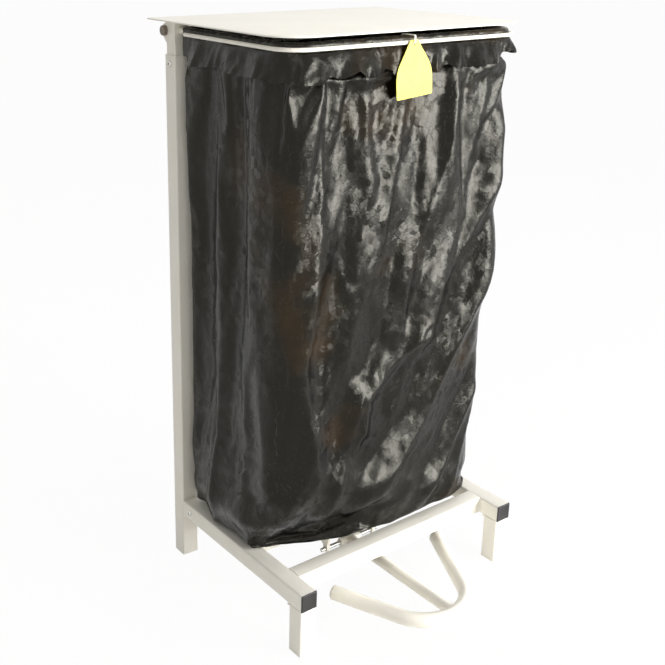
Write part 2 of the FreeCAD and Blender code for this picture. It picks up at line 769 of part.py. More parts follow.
def build_lever_clevis():
    """Clevis with a round spigot in the arm's rear end and a slot for the push rod's lower eye."""
    body = piece("PartDesign::Body", "lever_clevis")
    neck = "(clevis_length-clevis_half)"
    block = sketch(body, "XZ_Plane", "lever_clevis_block", lift=neck)
    rectangle(block, "-clevis_half", "clevis_half", "-clevis_half", "clevis_half")
    pad(body, block, "clevis_length", reverse=True)
    spigot = sketch(body, "XZ_Plane", "lever_clevis_spigot", lift=neck)
    circle(spigot, "0", "0", "arm_radius-arm_wall-slip_gap")
    pad(body, spigot, "clevis_spigot")
    throat = sketch(body, "XY_Plane", "lever_clevis_throat")
    gap = "(eye_width/2+eye_gap)"
    rectangle(throat, f"-{gap}", gap, "clevis_half-clevis_slot", "2*clevis_half")
    pocket(body, throat, "4*clevis_half", centred=True)
    bore = sketch(body, "YZ_Plane", "lever_clevis_bore")
    circle(bore, "0", "0", "pin_radius+run_gap")
    pocket(body, bore, "4*clevis_half", centred=True)
    place(body, "0", "link_y", "pedal_height")


def build_push_rod():
    """Rod from the clevis to the crank, flattened into an eye at each end."""
    body = piece("PartDesign::Body", "push_rod")
    length = "(link_top-pedal_height)"
    for word, centre, inner in (("lower", "0", "eye_neck"), ("upper", length, f"({length}-eye_neck)")):
        neck = sketch(body, "YZ_Plane", f"push_rod_{word}_neck")
        ends = (centre, inner) if word == "lower" else (inner, centre)
        rectangle(neck, "-push_rod_radius", "push_rod_radius", *ends)
        pad(body, neck, "eye_width", centred=True)
        if word == "lower":
            shank = sketch(body, "XY_Plane", "push_rod_shank", lift="eye_neck")
            circle(shank, "0", "0", "push_rod_radius")
            pad(body, shank, f"{length}-2*eye_neck")
    for word, centre in (("lower", "0"), ("upper", length)):
        eye = sketch(body, "YZ_Plane", f"push_rod_{word}_eye")
        circle(eye, "0", centre, "eye_radius")
        pad(body, eye, "eye_width", centred=True)
        bore = sketch(body, "YZ_Plane", f"push_rod_{word}_bore")
        circle(bore, "0", centre, "pin_radius+run_gap")
        pocket(body, bore, "2*eye_width", centred=True)
    place(body, "0", "link_y", "pedal_height")


def build_tag():
    body = piece("PartDesign::Body", "sack_tag")
    plate = sketch(body, "XZ_Plane", "sack_tag_plate")
    outline(plate, [
        ("-tag_top_half", "tag_above_hole"),
        ("-tag_half_width", "-tag_shoulder"),
        ("-tag_half_width", "-tag_below_hole"),
        ("tag_half_width", "-tag_below_hole"),
        ("tag_half_width", "-tag_shoulder"),
        ("tag_top_half", "tag_above_hole"),
    ])
    pad(body, plate, "tag_thickness", centred=True)
    hole = sketch(body, "XZ_Plane", "sack_tag_hole")
    circle(hole, "0", "0", "tag_hole_radius")
    pocket(body, hole, "2*tag_thickness", centred=True)
    for word, level, radius in (("shoulders", -size("tag_shoulder"), "tag_shoulder_radius"),
                                ("feet", -size("tag_below_hole"), "tag_corner"),
                                ("head", size("tag_above_hole"), "tag_corner")):
        round_edges(body, radius, f"sack_tag_{word}",
                    lambda edge, level=level: edge.BoundBox.XLength + edge.BoundBox.ZLength < 0.01 and
                    abs(edge.CenterOfMass.z - level) < 0.01)
    place(body, "-tag_offset", "tag_y", "tag_z", Rotation(Vector(0, -1, 0), 1))
    bind(body, "Placement.Rotation.Angle", "tag_tilt")


def rounded_path(points, radius):
    """A closed path of straight runs joined by tangent arcs."""
    count = len(points)
    cuts = []
    for i, point in enumerate(points):
        back = (points[i - 1] - point).normalize()
        ahead = (points[(i + 1) % count] - point).normalize()
        half_angle = back.getAngle(ahead) / 2
        reach = radius / math.tan(half_angle)
        middle = point + (back + ahead).normalize() * (radius / math.sin(half_angle) - radius)
        cuts.append((point + back * reach, middle, point + ahead * reach))
    edges = []
    for i, (start, middle, end) in enumerate(cuts):
        edges.append(Part.Arc(start, middle, end).toShape())
        edges.append(Part.LineSegment(end, cuts[(i + 1) % count][0]).toShape())
    return Part.Wire(edges)


def build_tag_loop(word, side):
    """Thin moulded loop over the rim, round the film and the wire, and through the tag's hole."""
    around_rim = "(rim_clear+film+film_gap+strand_radius)"
    top = number(f"rim_height+{around_rim}")
    rear = number(f"rim_front+{around_rim}")
    front = number("tag_y-tag_thickness/2-seat_gap-strand_radius")
    bottom = number("strand_low")
    hole_y = number("tag_y")
    hole_z = number("tag_z+strand_lift")
    x = -size("tag_offset") + side * size("strand_spread")
    points = [
        Vector(x, front, top),
        Vector(x, front, hole_z + hole_y - front),
        Vector(x, hole_y + hole_z - bottom, bottom),
        Vector(x, rear, bottom),
        Vector(x, rear, top),
    ]
    path = rounded_path(points, size("strand_bend"))
    start = path.Edges[-1]
    direction = start.tangentAt(start.FirstParameter)
    ring = Part.Wire(Part.makeCircle(size("strand_radius"), start.Vertexes[0].Point, direction))
    strand = path.makePipeShell([ring], True, False)
    strand.rotate(Vector(x, hole_y, 0), UP, -side * size("strand_fan"))
    loop = piece("Part::Feature", f"{word}_tag_loop")
    loop.Shape = strand


def plan_wire(grow, height, front_left, front_right, rear):
    """The rim's plan, grown outwards, as a closed wire with round corners."""
    half = number("rim_half") + grow
    front = number("rim_front") - grow
    back = number("rim_rear") + grow
    corners = [(-half, front, front_left), (half, front, front_right),
               (half, back, rear), (-half, back, rear)]
    edges = []
    ends = []
    for i, (x, y, radius) in enumerate(corners):
        inward_x = -math.copysign(radius, x)
        inward_y = radius if i < 2 else -radius
        diagonal = radius * (1 - math.sqrt(0.5))
        middle = Vector(x + math.copysign(diagonal, inward_x), y + math.copysign(diagonal, inward_y), height)
        along_x = Vector(x + inward_x, y, height)
        along_y = Vector(x, y + inward_y, height)
        start, end = (along_y, along_x) if i % 2 == 0 else (along_x, along_y)
        ends.append((start, middle, end))
    for i, (start, middle, end) in enumerate(ends):
        edges.append(Part.Arc(start, middle, end).toShape())
        edges.append(Part.LineSegment(end, ends[(i + 1) % 4][0]).toShape())
    return Part.Wire(edges)


def cuff_prism(grow, low, high):
    front = size("rim_corner") + grow
    rear = grow if grow > 0 else size("cuff_rear_corner") + number("rim_clear") + grow
    base = Part.Face(plan_wire(grow, low, front, front, rear))
    return base.extrude(Vector(0, 0, high - low))


def round_top(solid, height, radius):
    edges = [edge for edge in solid.Edges if edge.BoundBox.ZMin > height - 0.01]
    return solid.makeFillet(radius, edges)


def build_cuff(neck, hem, top):
    """Film folded over the rim: an inner leg, a roll over the rod and an outer flap down to the hem."""
    film = size("film")
    clear = number("rim_clear")
    beyond = clear + film
    below = neck - film
    ring = cuff_prism(beyond, neck, top).cut(cuff_prism(-beyond, below, top + film))
    ring = round_top(ring, top, beyond - 0.1)
    channel = cuff_prism(clear, below, top - film).cut(cuff_prism(-clear, below - film, top))
    channel = round_top(channel, top - film, clear - 0.1)
    under_hem = cuff_prism(beyond + film, below, hem).cut(cuff_prism(-clear, below - film, hem + film))
    return ring.cut(channel).cut(under_hem)


def build_slits(hem, top):
    """Openings where the rim's side runs and the tag's loops pass through the film."""
    film = size("film")
    clear = number("rim_clear")
    run = number("rim_half")
    rear = number("rim_rear")
    slits = []
    for side in SIDES.values():
        corner = Vector(side * run - clear, rear, hem - film)
        slits.append(Part.makeBox(2 * clear, 2 * clear, top - hem, corner))
    width = size("slit_width")
    height = size("slit_height")
    level = number("strand_low") - height / 2
    corner = Vector(-size("tag_offset") - width / 2, number("rim_front") - 2 * clear, level)
    slits.append(Part.makeBox(width, 4 * clear, height, corner))
    return slits


def build_sack():
    """Thin film sack: the cuff over the rim, a neck inside it and a body that stands on the rails."""
    film = size("film")
    clear = number("rim_clear")
    top = number("rim_height") + clear + film
    hem = number("rim_height") - size("cuff_drop")
    neck = hem - size("neck_drop")
    foot = size("rail_top") + size("foot_lift")
    front = size("sack_front_corner")
    rear = size("sack_rear_corner")
    neck_front = size("rim_corner") - clear
    neck_rear = size("cuff_rear_corner")
    rings = [
        (-clear, neck, neck_front, neck_front, neck_rear),
        (size("shoulder_bulge"), neck - size("shoulder_drop"), front, front, rear),
        (size("waist_bulge"), size("waist_height"), front, front, rear),
        (size("belly_bulge"), size("belly_height"), front, front, rear),
        (-size("foot_inset"), foot, size("foot_tuck"), front, rear),
    ]
    outer = Part.makeLoft([plan_wire(*ring) for ring in rings], True, True)
    inside = [(grow - film, height + (film if height == foot else 0), left - film, right - film, back - film)
              for grow, height, left, right, back in rings]
    inner = Part.makeLoft([plan_wire(*ring) for ring in inside], True, True)
    film_body = outer.cut(inner)
    whole = build_cuff(neck, hem, top).fuse(film_body).removeSplitter()
    for slit in build_slits(hem, top):
        whole = whole.cut(slit)
    sack = piece("Part::Feature", "sack")
    sack.Shape = whole


for word, side in SIDES.items():
    build_upright(word, side)
    build_rail(word, side)
    build_stub(word, side)
    build_leg(word, side)
    build_top_leg(word, side)
    build_rail_plug(word, side)
    build_screw(f"{word}_rail_screw", side, "rail_screw_y", "rail_axis")
    build_screw(f"{word}_upright_screw", side, "upright_axis", "upright_screw_z")
    build_hinge_block(word, side)
    build_hinge_cap(word, side)
    build_lid_ear(word, side)
    build_pivot_lug(word, side)
    build_loop_plug(word, side)
    build_tag_loop(word, side)
build_bar("front_crossbar", "crossbar_y")
build_bar("middle_crossbar", "middle_bar_y")
build_rear_bar()
build_bent_rod("sack_rim", "rim_radius", "rim_half", "(block_front+rim_socket-seat_gap)", "rim_front",
               "rim_corner", "rim_height")
build_rear_rod()
build_bent_rod("retaining_wire", "clip_radius", "(rim_half+clip_offset)", "(back_face-clip_end_ahead)",
               "clip_front", "(rim_corner+clip_offset)", "clip_height")
build_rod("hinge_rod", "hinge_rod_radius", "block_outer+seat_gap+hinge_cap_length-cap_cover-run_gap",
          "back_face", "hinge_height")
build_lid_sheet()
build_crank_fork()
build_rod("pivot_rod", "pivot_rod_radius", "pivot_rod_half", "pivot_y", "pedal_height")
build_pivot_tube()
build_pedal_arm()
build_pedal_loop()
build_lever_clevis()
build_rod("clevis_pin", "pin_radius", "clevis_half+pin_proud", "link_y", "pedal_height")
build_push_rod()
build_rod("crank_pin", "pin_radius", "fork_half+pin_proud", "link_y", "link_top")
build_tag()
build_sack()
doc.recompute()

faults = [f"{thing.Label}: {', '.join(thing.State)}" for thing in doc.Objects
          if "Invalid" in thing.State or "Error" in thing.State]
for step in doc.Objects:
    if step.TypeId in ("PartDesign::Pocket", "PartDesign::Groove"):
        if step.Shape.Volume > step.BaseFeature.Shape.Volume - 0.01:
            faults.append(f"{step.Label}: takes nothing away")
for thing in pieces:
    shape = thing.Shape
    if shape.isNull() or not shape.isValid() or len(shape.Solids) != 1:
        faults.append(f"{thing.Label}: not one valid solid")
if faults:
    sys.exit("Not written, because of: " + "; ".join(faults))
for thing in pieces:
    thing.Shape.exportStep(f"parts/{thing.Label}.step")
    bounds = thing.Shape.BoundBox
    low = [round(v, 2) for v in (bounds.XMin, bounds.YMin, bounds.ZMin)]
    high = [round(v, 2) for v in (bounds.XMax, bounds.YMax, bounds.ZMax)]
    print(f"{thing.Label}: {thing.Shape.Volume:.0f} mm3, {low} to {high}")
sheet.clear("D1")
print(f"{len(pieces)} sub-parts written")
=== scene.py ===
import json
import math

import bmesh
import bpy
from mathutils import Matrix, Vector, noise

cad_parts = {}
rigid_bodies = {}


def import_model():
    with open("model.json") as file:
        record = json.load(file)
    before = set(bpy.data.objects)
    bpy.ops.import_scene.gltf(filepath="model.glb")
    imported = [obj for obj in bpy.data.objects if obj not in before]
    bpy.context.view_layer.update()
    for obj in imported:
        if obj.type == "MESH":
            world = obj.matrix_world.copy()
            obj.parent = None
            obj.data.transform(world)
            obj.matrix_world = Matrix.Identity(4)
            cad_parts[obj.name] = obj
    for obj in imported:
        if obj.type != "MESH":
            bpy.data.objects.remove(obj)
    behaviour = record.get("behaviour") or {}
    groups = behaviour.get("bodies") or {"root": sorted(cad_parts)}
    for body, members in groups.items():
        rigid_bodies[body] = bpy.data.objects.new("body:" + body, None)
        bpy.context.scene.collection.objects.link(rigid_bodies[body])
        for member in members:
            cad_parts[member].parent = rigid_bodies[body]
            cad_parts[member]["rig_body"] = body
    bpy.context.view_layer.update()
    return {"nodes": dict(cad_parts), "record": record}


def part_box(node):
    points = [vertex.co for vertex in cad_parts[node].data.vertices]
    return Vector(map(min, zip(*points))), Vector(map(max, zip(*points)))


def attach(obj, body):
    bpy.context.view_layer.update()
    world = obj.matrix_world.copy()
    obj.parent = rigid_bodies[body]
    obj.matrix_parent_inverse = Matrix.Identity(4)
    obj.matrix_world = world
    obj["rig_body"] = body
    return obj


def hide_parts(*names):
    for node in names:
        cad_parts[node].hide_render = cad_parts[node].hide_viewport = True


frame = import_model()
print("stage: frame loaded")


# The camera stands where the photograph's did, worked out from the frame's own corners
cameraFacts = {
    "place": (-0.8925, -0.9948, 0.9009),
    "azimuth": 36.566,  # degrees, turned from straight ahead towards the right
    "tilt": 17.946,  # degrees down
    "roll": 0.592,
    "focalPixels": 1033.88,
    "centrePixel": (271.5, 260.66),  # where the lens axis meets the picture
    "picture": 665,
}


def addCamera(facts):
    azimuth, tilt, roll = (math.radians(facts[k]) for k in ("azimuth", "tilt", "roll"))
    ahead = Vector((math.sin(azimuth) * math.cos(tilt), math.cos(azimuth) * math.cos(tilt), -math.sin(tilt)))
    side = ahead.cross(Vector((0, 0, 1))).normalized()
    top = side.cross(ahead)
    right = side * math.cos(roll) + top * math.sin(roll)
    up = top * math.cos(roll) - side * math.sin(roll)
    lens = bpy.data.cameras.new("camera")
    wide = facts["picture"]
    lens.sensor_width = 36
    lens.lens = 36 * facts["focalPixels"] / wide
    lens.shift_x = (wide / 2 - facts["centrePixel"][0]) / wide
    lens.shift_y = -(wide / 2 - facts["centrePixel"][1]) / wide
    camera = bpy.data.objects.new("camera", lens)
    turn = Matrix((right, up, -ahead)).transposed().to_4x4()
    camera.matrix_world = Matrix.Translation(facts["place"]) @ turn
    bpy.context.scene.collection.objects.link(camera)
    bpy.context.scene.camera = camera


addCamera(cameraFacts)
bpy.context.scene.view_settings.view_transform = "Standard"


def addNode(tree, kind, settings=None, **links):
    # inputs go by name, with _ for a space, or by place, as i0; a socket is linked, anything else is set
    node = tree.nodes.new(kind)
    for name, value in (settings or {}).items():
        setattr(node, name, value)
    for name, value in links.items():
        spot = node.inputs[int(name[1:]) if name[0] == "i" and name[1:].isdigit() else name.replace("_", " ")]
        if isinstance(value, bpy.types.NodeSocket):
            tree.links.new(value, spot)
        else:
            spot.default_value = value
    return node


def colour(text):
    parts = [int(text[i:i + 2], 16) / 255 for i in (1, 3, 5)]
    return (*[p / 12.92 if p <= 0.04045 else ((p + 0.055) / 1.055) ** 2.4 for p in parts], 1)


def newMaterial(name, **uniform):
    made = bpy.data.materials.new(name)
    made.use_nodes = True
    shader = made.node_tree.nodes["Principled BSDF"]
    for word, value in uniform.items():
        shader.inputs[word.replace("_", " ")].default_value = value
    place = addNode(made.node_tree, "ShaderNodeTexCoord").outputs["Object"]
    return made, made.node_tree, shader, place


def feed(tree, shader, **sockets):
    for word, socket in sockets.items():
        tree.links.new(socket, shader.inputs[word.replace("_", " ")])


def mixedColour(tree, amount, low, high):
    # low and high are colours, or sockets that give one
    mix = addNode(tree, "ShaderNodeMix", {"data_type": "RGBA"}, i0=amount)
    for spot, tone in zip([s for s in mix.inputs if s.type == "RGBA"], (low, high)):
        if isinstance(tone, bpy.types.NodeSocket):
            tree.links.new(tone, spot)
        else:
            spot.default_value = colour(tone)
    return next(o for o in mix.outputs if o.type == "RGBA")


def ranged(tree, value, fromLow, fromHigh, toLow, toHigh):
    node = addNode(tree, "ShaderNodeMapRange", None, Value=value)
    limits = {"From Min": fromLow, "From Max": fromHigh, "To Min": toLow, "To Max": toHigh}
    for word, number in limits.items():
        node.inputs[word].default_value = number
    return node.outputs["Result"]


def noiseOn(tree, place, **settings):
    return addNode(tree, "ShaderNodeTexNoise", None, Vector=place, **settings).outputs["Fac"]


def bumped(tree, height, strength, distance, normal=None):
    bump = addNode(tree, "ShaderNodeBump", None, Height=height, Strength=strength, Distance=distance)
    if normal:
        tree.links.new(normal, bump.inputs["Normal"])
    return bump.outputs["Normal"]


def vectorMath(tree, operation, first, second):
    node = addNode(tree, "ShaderNodeVectorMath", {"operation": operation}, i0=first)
    if operation == "SCALE":
        node.inputs["Scale"].default_value = second
    elif isinstance(second, bpy.types.NodeSocket):
        tree.links.new(second, node.inputs[1])
    else:
        node.inputs[1].default_value = second
    return node.outputs["Value" if operation == "DOT_PRODUCT" else "Vector"]


def multiplied(tree, first, second):
    return addNode(tree, "ShaderNodeMath", {"operation": "MULTIPLY"}, i0=first, i1=second).outputs[0]


paintLook = {
    "tones": ("#f5f0e2", "#fbf7ec"),
    "scuffed": "#e2dac6",
    "rough": (0.34, 0.46),
    "coat": 0.15, "coatRough": 0.2,
    "peel": 480, "peelHigh": 0.00012,  # orange peel: cells to the metre, and their height
}


def powderCoat(look):
    # White polyester powder on steel: satin, faintly mottled orange peel about 2 mm across, cream in places
    made, tree, shader, place = newMaterial("whitePowderCoatSatin", IOR=1.5, Coat_Weight=look["coat"],
                                            Coat_Roughness=look["coatRough"])
    peel = noiseOn(tree, place, Scale=look["peel"], Detail=2)
    cloud = noiseOn(tree, place, Scale=9, Detail=4)
    scuff = noiseOn(tree, place, Scale=70, Detail=6, Roughness=0.7)
    tone = mixedColour(tree, ranged(tree, cloud, 0.3, 0.7, 0, 1), *look["tones"])
    scuffing = ranged(tree, scuff, 0.66, 0.78, 0, 0.35)
    feed(tree, shader, Base_Color=mixedColour(tree, scuffing, tone, look["scuffed"]),
         Roughness=ranged(tree, cloud, 0.3, 0.7, *look["rough"]),
         Normal=bumped(tree, peel, 0.35, look["peelHigh"]))
    return made


def mouldedPlastic(name, low, high, grain, rough):
    # Injection-moulded plastic: fine spark-eroded grain, a soft sheen and faint flow marks
    made, tree, shader, place = newMaterial(name, IOR=1.49)
    cloud = noiseOn(tree, place, Scale=60, Detail=3)
    fine = noiseOn(tree, place, Scale=1000 / grain, Detail=2)
    feed(tree, shader, Base_Color=mixedColour(tree, ranged(tree, cloud, 0.3, 0.7, 0, 1), low, high),
         Roughness=ranged(tree, fine, 0.3, 0.7, rough - 0.06, rough + 0.08),
         Normal=bumped(tree, fine, 0.4, 0.00008))
    return made


def platedSteel(name, low, high, rough):
    # Zinc-plated drawn steel: bright but hazy, with fine marks along the drawing direction
    made, tree, shader, place = newMaterial(name, Metallic=1.0)
    streaks = addNode(tree, "ShaderNodeMapping", None, Vector=place, Scale=(60, 1400, 1400)).outputs["Vector"]
    lines = noiseOn(tree, streaks, Scale=1, Detail=3)
    cloud = noiseOn(tree, place, Scale=120, Detail=3)
    feed(tree, shader, Base_Color=mixedColour(tree, ranged(tree, cloud, 0.3, 0.7, 0, 1), low, high),
         Roughness=ranged(tree, lines, 0.3, 0.7, rough - 0.08, rough + 0.1),
         Normal=bumped(tree, lines, 0.3, 0.00003))
    return made


filmLook = {
    # facets of crushed film, coarse to fine: cells to the metre, stretch of each axis, turn, slope
    "facets": [
        (17, (1, 1, 0.45), (0.0, 0.5, 0.0), 0.06),
        (46, (1, 1, 0.6), (0.0, -0.3, 0.0), 0.08),
        (125, (1, 1, 0.8), (0.0, 0.2, 0.0), 0.12),
    ],
    "shine": 0.27,
    "shineTint": "#fffbec",
    "black": ("#030302", "#0a0804"),
    "thin": "#2e1f0a",  # brown where it is stretched thin
    "rough": (0.20, 0.31),
    "haze": 18, "patches": 7, "grain": 330,  # cells to the metre
    "grainHigh": 0.0006,
}


def facetHeight(tree, place, size, stretch, turn, slope):
    # flat facets between sharp creases, as in crushed film: each cell of the pattern has its own tilt
    middle = (0.5, 0.5, 0.5)
    aimed = addNode(tree, "ShaderNodeMapping", None, Vector=place, Rotation=turn, Scale=stretch)
    bent = addNode(tree, "ShaderNodeTexNoise", None, Vector=place, Scale=size * 0.8, Detail=2)
    shift = vectorMath(tree, "SCALE", vectorMath(tree, "SUBTRACT", bent.outputs["Color"], middle), 0.4 / size)
    moved = vectorMath(tree, "ADD", aimed.outputs["Vector"], shift)
    cells = addNode(tree, "ShaderNodeTexVoronoi", {"feature": "F1"}, Vector=moved, Scale=size, Randomness=1.0)
    offset = vectorMath(tree, "SUBTRACT", moved, cells.outputs["Position"])
    tilt = vectorMath(tree, "SUBTRACT", cells.outputs["Color"], middle)
    return multiplied(tree, vectorMath(tree, "DOT_PRODUCT", offset, tilt), slope * 2)


def polythene(look):
    # Thin black low-density polythene: glossy, sharply creased, silvery where a facet meets the light
    made, tree, shader, place = newMaterial("blackPolytheneFilm", IOR=1.52, Specular_IOR_Level=look["shine"],
                                            Specular_Tint=colour(look["shineTint"]))
    haze = noiseOn(tree, place, Scale=look["haze"], Detail=5, Roughness=0.6)
    patches = noiseOn(tree, place, Scale=look["patches"], Detail=3)
    tone = mixedColour(tree, ranged(tree, haze, 0.35, 0.75, 0, 1), *look["black"])
    worked = ranged(tree, patches, 0.38, 0.60, 0.35, 1.0)
    normal = None
    for facets in look["facets"]:
        normal = bumped(tree, multiplied(tree, facetHeight(tree, place, *facets), worked), 1.0, 1.0, normal)
    grain = noiseOn(tree, place, Scale=look["grain"], Detail=4, Roughness=0.65)
    thinned = ranged(tree, patches, 0.56, 0.70, 0, 0.7)
    feed(tree, shader, Base_Color=mixedColour(tree, thinned, tone, look["thin"]),
         Roughness=ranged(tree, haze, 0.3, 0.7, *look["rough"]),
         Normal=bumped(tree, grain, 0.6, look["grainHigh"], normal))
    return made


cardLook = {"tones": ("#ecdf4c", "#f1e65a"), "rough": 0.5}


def tagCard(look):
    # Pale yellow polypropylene card: even and matt, with a soft mottling
    made, tree, shader, place = newMaterial("yellowPolypropyleneCard", IOR=1.49, Roughness=look["rough"])
    cloud = noiseOn(tree, place, Scale=55, Detail=4)
    fine = noiseOn(tree, place, Scale=900, Detail=2)
    feed(tree, shader, Base_Color=mixedColour(tree, ranged(tree, cloud, 0.3, 0.7, 0, 1), *look["tones"]),
         Normal=bumped(tree, fine, 0.3, 0.00006))
    return made


paint = powderCoat(paintLook)
blackPlug = mouldedPlastic("blackPolythenePlug", "#1b1a19", "#2a2826", 0.6, 0.42)
whitePlug = mouldedPlastic("whitePolythenePlug", "#ece7da", "#f4f0e4", 0.6, 0.35)
# hinge caps: a grey plastic, darkened to the grey-brown these pieces take in the shade under the lid, which
# is painted shade
capGreyAndPaintedShade = mouldedPlastic("greyCapPlasticPaintedShade", "#6d6254", "#7d7264", 0.5, 0.45)
nylonLoop = mouldedPlastic("naturalNylonStrand", "#e6e2d4", "#f3f0e6", 0.3, 0.3)
zinc = platedSteel("zincPlatedScrew", "#b9b8b2", "#d2d1cb", 0.3)
drawnSteel = platedSteel("platedDrawnSteel", "#a9a8a3", "#c3c2bc", 0.32)
film = polythene(filmLook)
card = tagCard(cardLook)
print("stage: materials made")

slotMaterial = {
    "powder_coat": paint, "black_plastic": blackPlug, "white_plastic": whitePlug, "cap_plastic": capGreyAndPaintedShade,
    "screw_zinc": zinc, "nylon": nylonLoop, "bare_steel": drawnSteel, "sack_film": film, "tag_card": card,
}
nodeSlot = {entry["node"]: entry["material_slot"] for entry in frame["record"]["subparts"]}
for name, thing in frame["nodes"].items():
    thing.data.materials.clear()
    thing.data.materials.append(slotMaterial[nodeSlot[name]])


def addPiece(name, mesh, material, body):
    made = bpy.data.objects.new(name, mesh)
    bpy.context.scene.collection.objects.link(made)
    mesh.materials.clear()
    mesh.materials.append(material)
    mesh.polygons.foreach_set("use_smooth", [True] * len(mesh.polygons))
    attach(made, body)
    return made


def meshFrom(name, points, faces):
    mesh = bpy.data.meshes.new(name)
    mesh.from_pydata(points, [], faces)
    mesh.update()
    return mesh


def ringFaces(rings, around, flipped=False):
    # quads between each ring of points and the next
    made = []
    for ring in range(rings):
        for step in range(around):
            a, b = ring * around + step, ring * around + (step + 1) % around
            made.append((a, b, b + around, a + around) if flipped else (a, a + around, b + around, b))
    return made


def meshOf(work, name):
    mesh = bpy.data.meshes.new(name)
    work.to_mesh(mesh)
    work.free()
    return mesh


def plainForm(node, angle):
    # the CAD piece with each flat face in one again
    work = bmesh.new()
    work.from_mesh(frame["nodes"][node].data)
    bmesh.ops.remove_doubles(work, verts=work.verts, dist=1e-6)
    bmesh.ops.dissolve_limit(work, angle_limit=math.radians(angle), verts=work.verts, edges=work.edges)
    return work


def roundOff(work, edges, radius, steps):
    bmesh.ops.bevel(work, geom=edges, offset=radius, offset_type="OFFSET", segments=steps, profile=0.5,
                    affect="EDGES", clamp_overlap=True)


def meets(one, other):
    return abs(one - other) < 1e-5


tubeLook = {
    "corner": 0.0022,  # outer corner radius of the drawn square tube
    "insertCorner": 0.0016,  # the same, of the top legs
    "steps": 4,
    "sharp": 32,  # degrees between faces that keep a sharp edge
}


def roundedTube(node, axis, radius):
    # the CAD tube with its long outer corners rounded as a drawn tube's are
    work = plainForm(node, 2)
    low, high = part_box(node)
    across = [i for i in range(3) if i != axis]

    def onCorner(vert):
        return all(meets(vert.co[i], low[i]) or meets(vert.co[i], high[i]) for i in across)

    corners = [e for e in work.edges if onCorner(e.verts[0]) and onCorner(e.verts[1])
               and abs(e.verts[0].co[axis] - e.verts[1].co[axis]) > 0.01]
    roundOff(work, corners, radius, tubeLook["steps"])
    bmesh.ops.triangulate(work, faces=[f for f in work.faces if len(f.verts) > 4])
    mesh = meshOf(work, node + "Rounded")
    made = addPiece(node + "Drawn", mesh, paint, frame["nodes"][node]["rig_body"])
    mesh.set_sharp_from_angle(angle=math.radians(tubeLook["sharp"]))
    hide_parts(node)


for side in ("left", "right"):
    roundedTube(f"{side}_upright", 2, tubeLook["corner"])
    roundedTube(f"{side}_top_leg", 2, tubeLook["insertCorner"])
    roundedTube(f"{side}_front_leg", 2, tubeLook["corner"])
    roundedTube(f"{side}_side_rail", 1, tubeLook["corner"])
for name in ("front_crossbar", "middle_crossbar", "rear_crossbar"):
    roundedTube(name, 0, tubeLook["corner"])
print("stage: square tubes rounded")


plugLook = {
    "edge": 0.0012,
    "steps": 3,
    "flange": 0.0016,  # how far back the square flange reaches
    "border": 0.0035,
    "dish": 0.0006,  # how far the face inside the border is sunk
    "sharp": 32,
}


def railPlug(side):
    # moulded end plug: rounded flange with a shallow dished face
    node = f"{side}_rail_plug"
    work = plainForm(node, 2)
    low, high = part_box(node)
    front = [f for f in work.faces if meets(f.calc_center_median().y, low.y)]
    border = bmesh.ops.inset_region(work, faces=front, thickness=plugLook["border"], depth=0)["faces"]
    for face in [f for f in work.faces if meets(f.calc_center_median().y, low.y) and f not in border]:
        for vert in face.verts:
            vert.co.y += plugLook["dish"]

    def onSide(vert):
        return meets(vert.co.x, low.x) or meets(vert.co.x, high.x)

    def onOutline(vert):
        level = meets(vert.co.z, low.z) or meets(vert.co.z, high.z)
        return meets(vert.co.y, low.y) and (onSide(vert) or level)

    outline = [e for e in work.edges if all(onOutline(v) for v in e.verts)]
    corners = [e for e in work.edges if abs(e.verts[0].co.y - e.verts[1].co.y) > 0.001
               and all(v.co.y < low.y + plugLook["flange"] and onSide(v) for v in e.verts)]
    roundOff(work, outline + corners, plugLook["edge"], plugLook["steps"])
    mesh = meshOf(work, node + "Moulded")
    made = addPiece(node + "Moulded", mesh, blackPlug, "frame")
    mesh.set_sharp_from_angle(angle=math.radians(plugLook["sharp"]))
    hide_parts(node)


for side in ("left", "right"):
    railPlug(side)


lidLook = {
    "edge": 0.0008, "steps": 3,  # rolled edge of the 2 mm sheet
    "sharp": 40,
    "spots": [(-0.162, 0.181), (0.162, 0.181), (0.0, 0.176), (-0.162, 0.168), (0.162, 0.168)],  # spot welds
    "spotRadius": 0.004,
}


def dressedLid():
    work = plainForm("lid_sheet", 1)
    rim = [e for e in work.edges if abs(e.verts[0].co.z - e.verts[1].co.z) < 1e-6
           and len(e.link_faces) == 2 and any(abs(f.normal.z) < 0.5 for f in e.link_faces)]
    roundOff(work, rim, lidLook["edge"], lidLook["steps"])
    mesh = meshOf(work, "lidSheetRolled")
    made = addPiece("lidSheetRolled", mesh, paint, "lid")
    mesh.set_sharp_from_angle(angle=math.radians(lidLook["sharp"]))
    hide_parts("lid_sheet")


dressedLid()
print("stage: plugs and lid made")


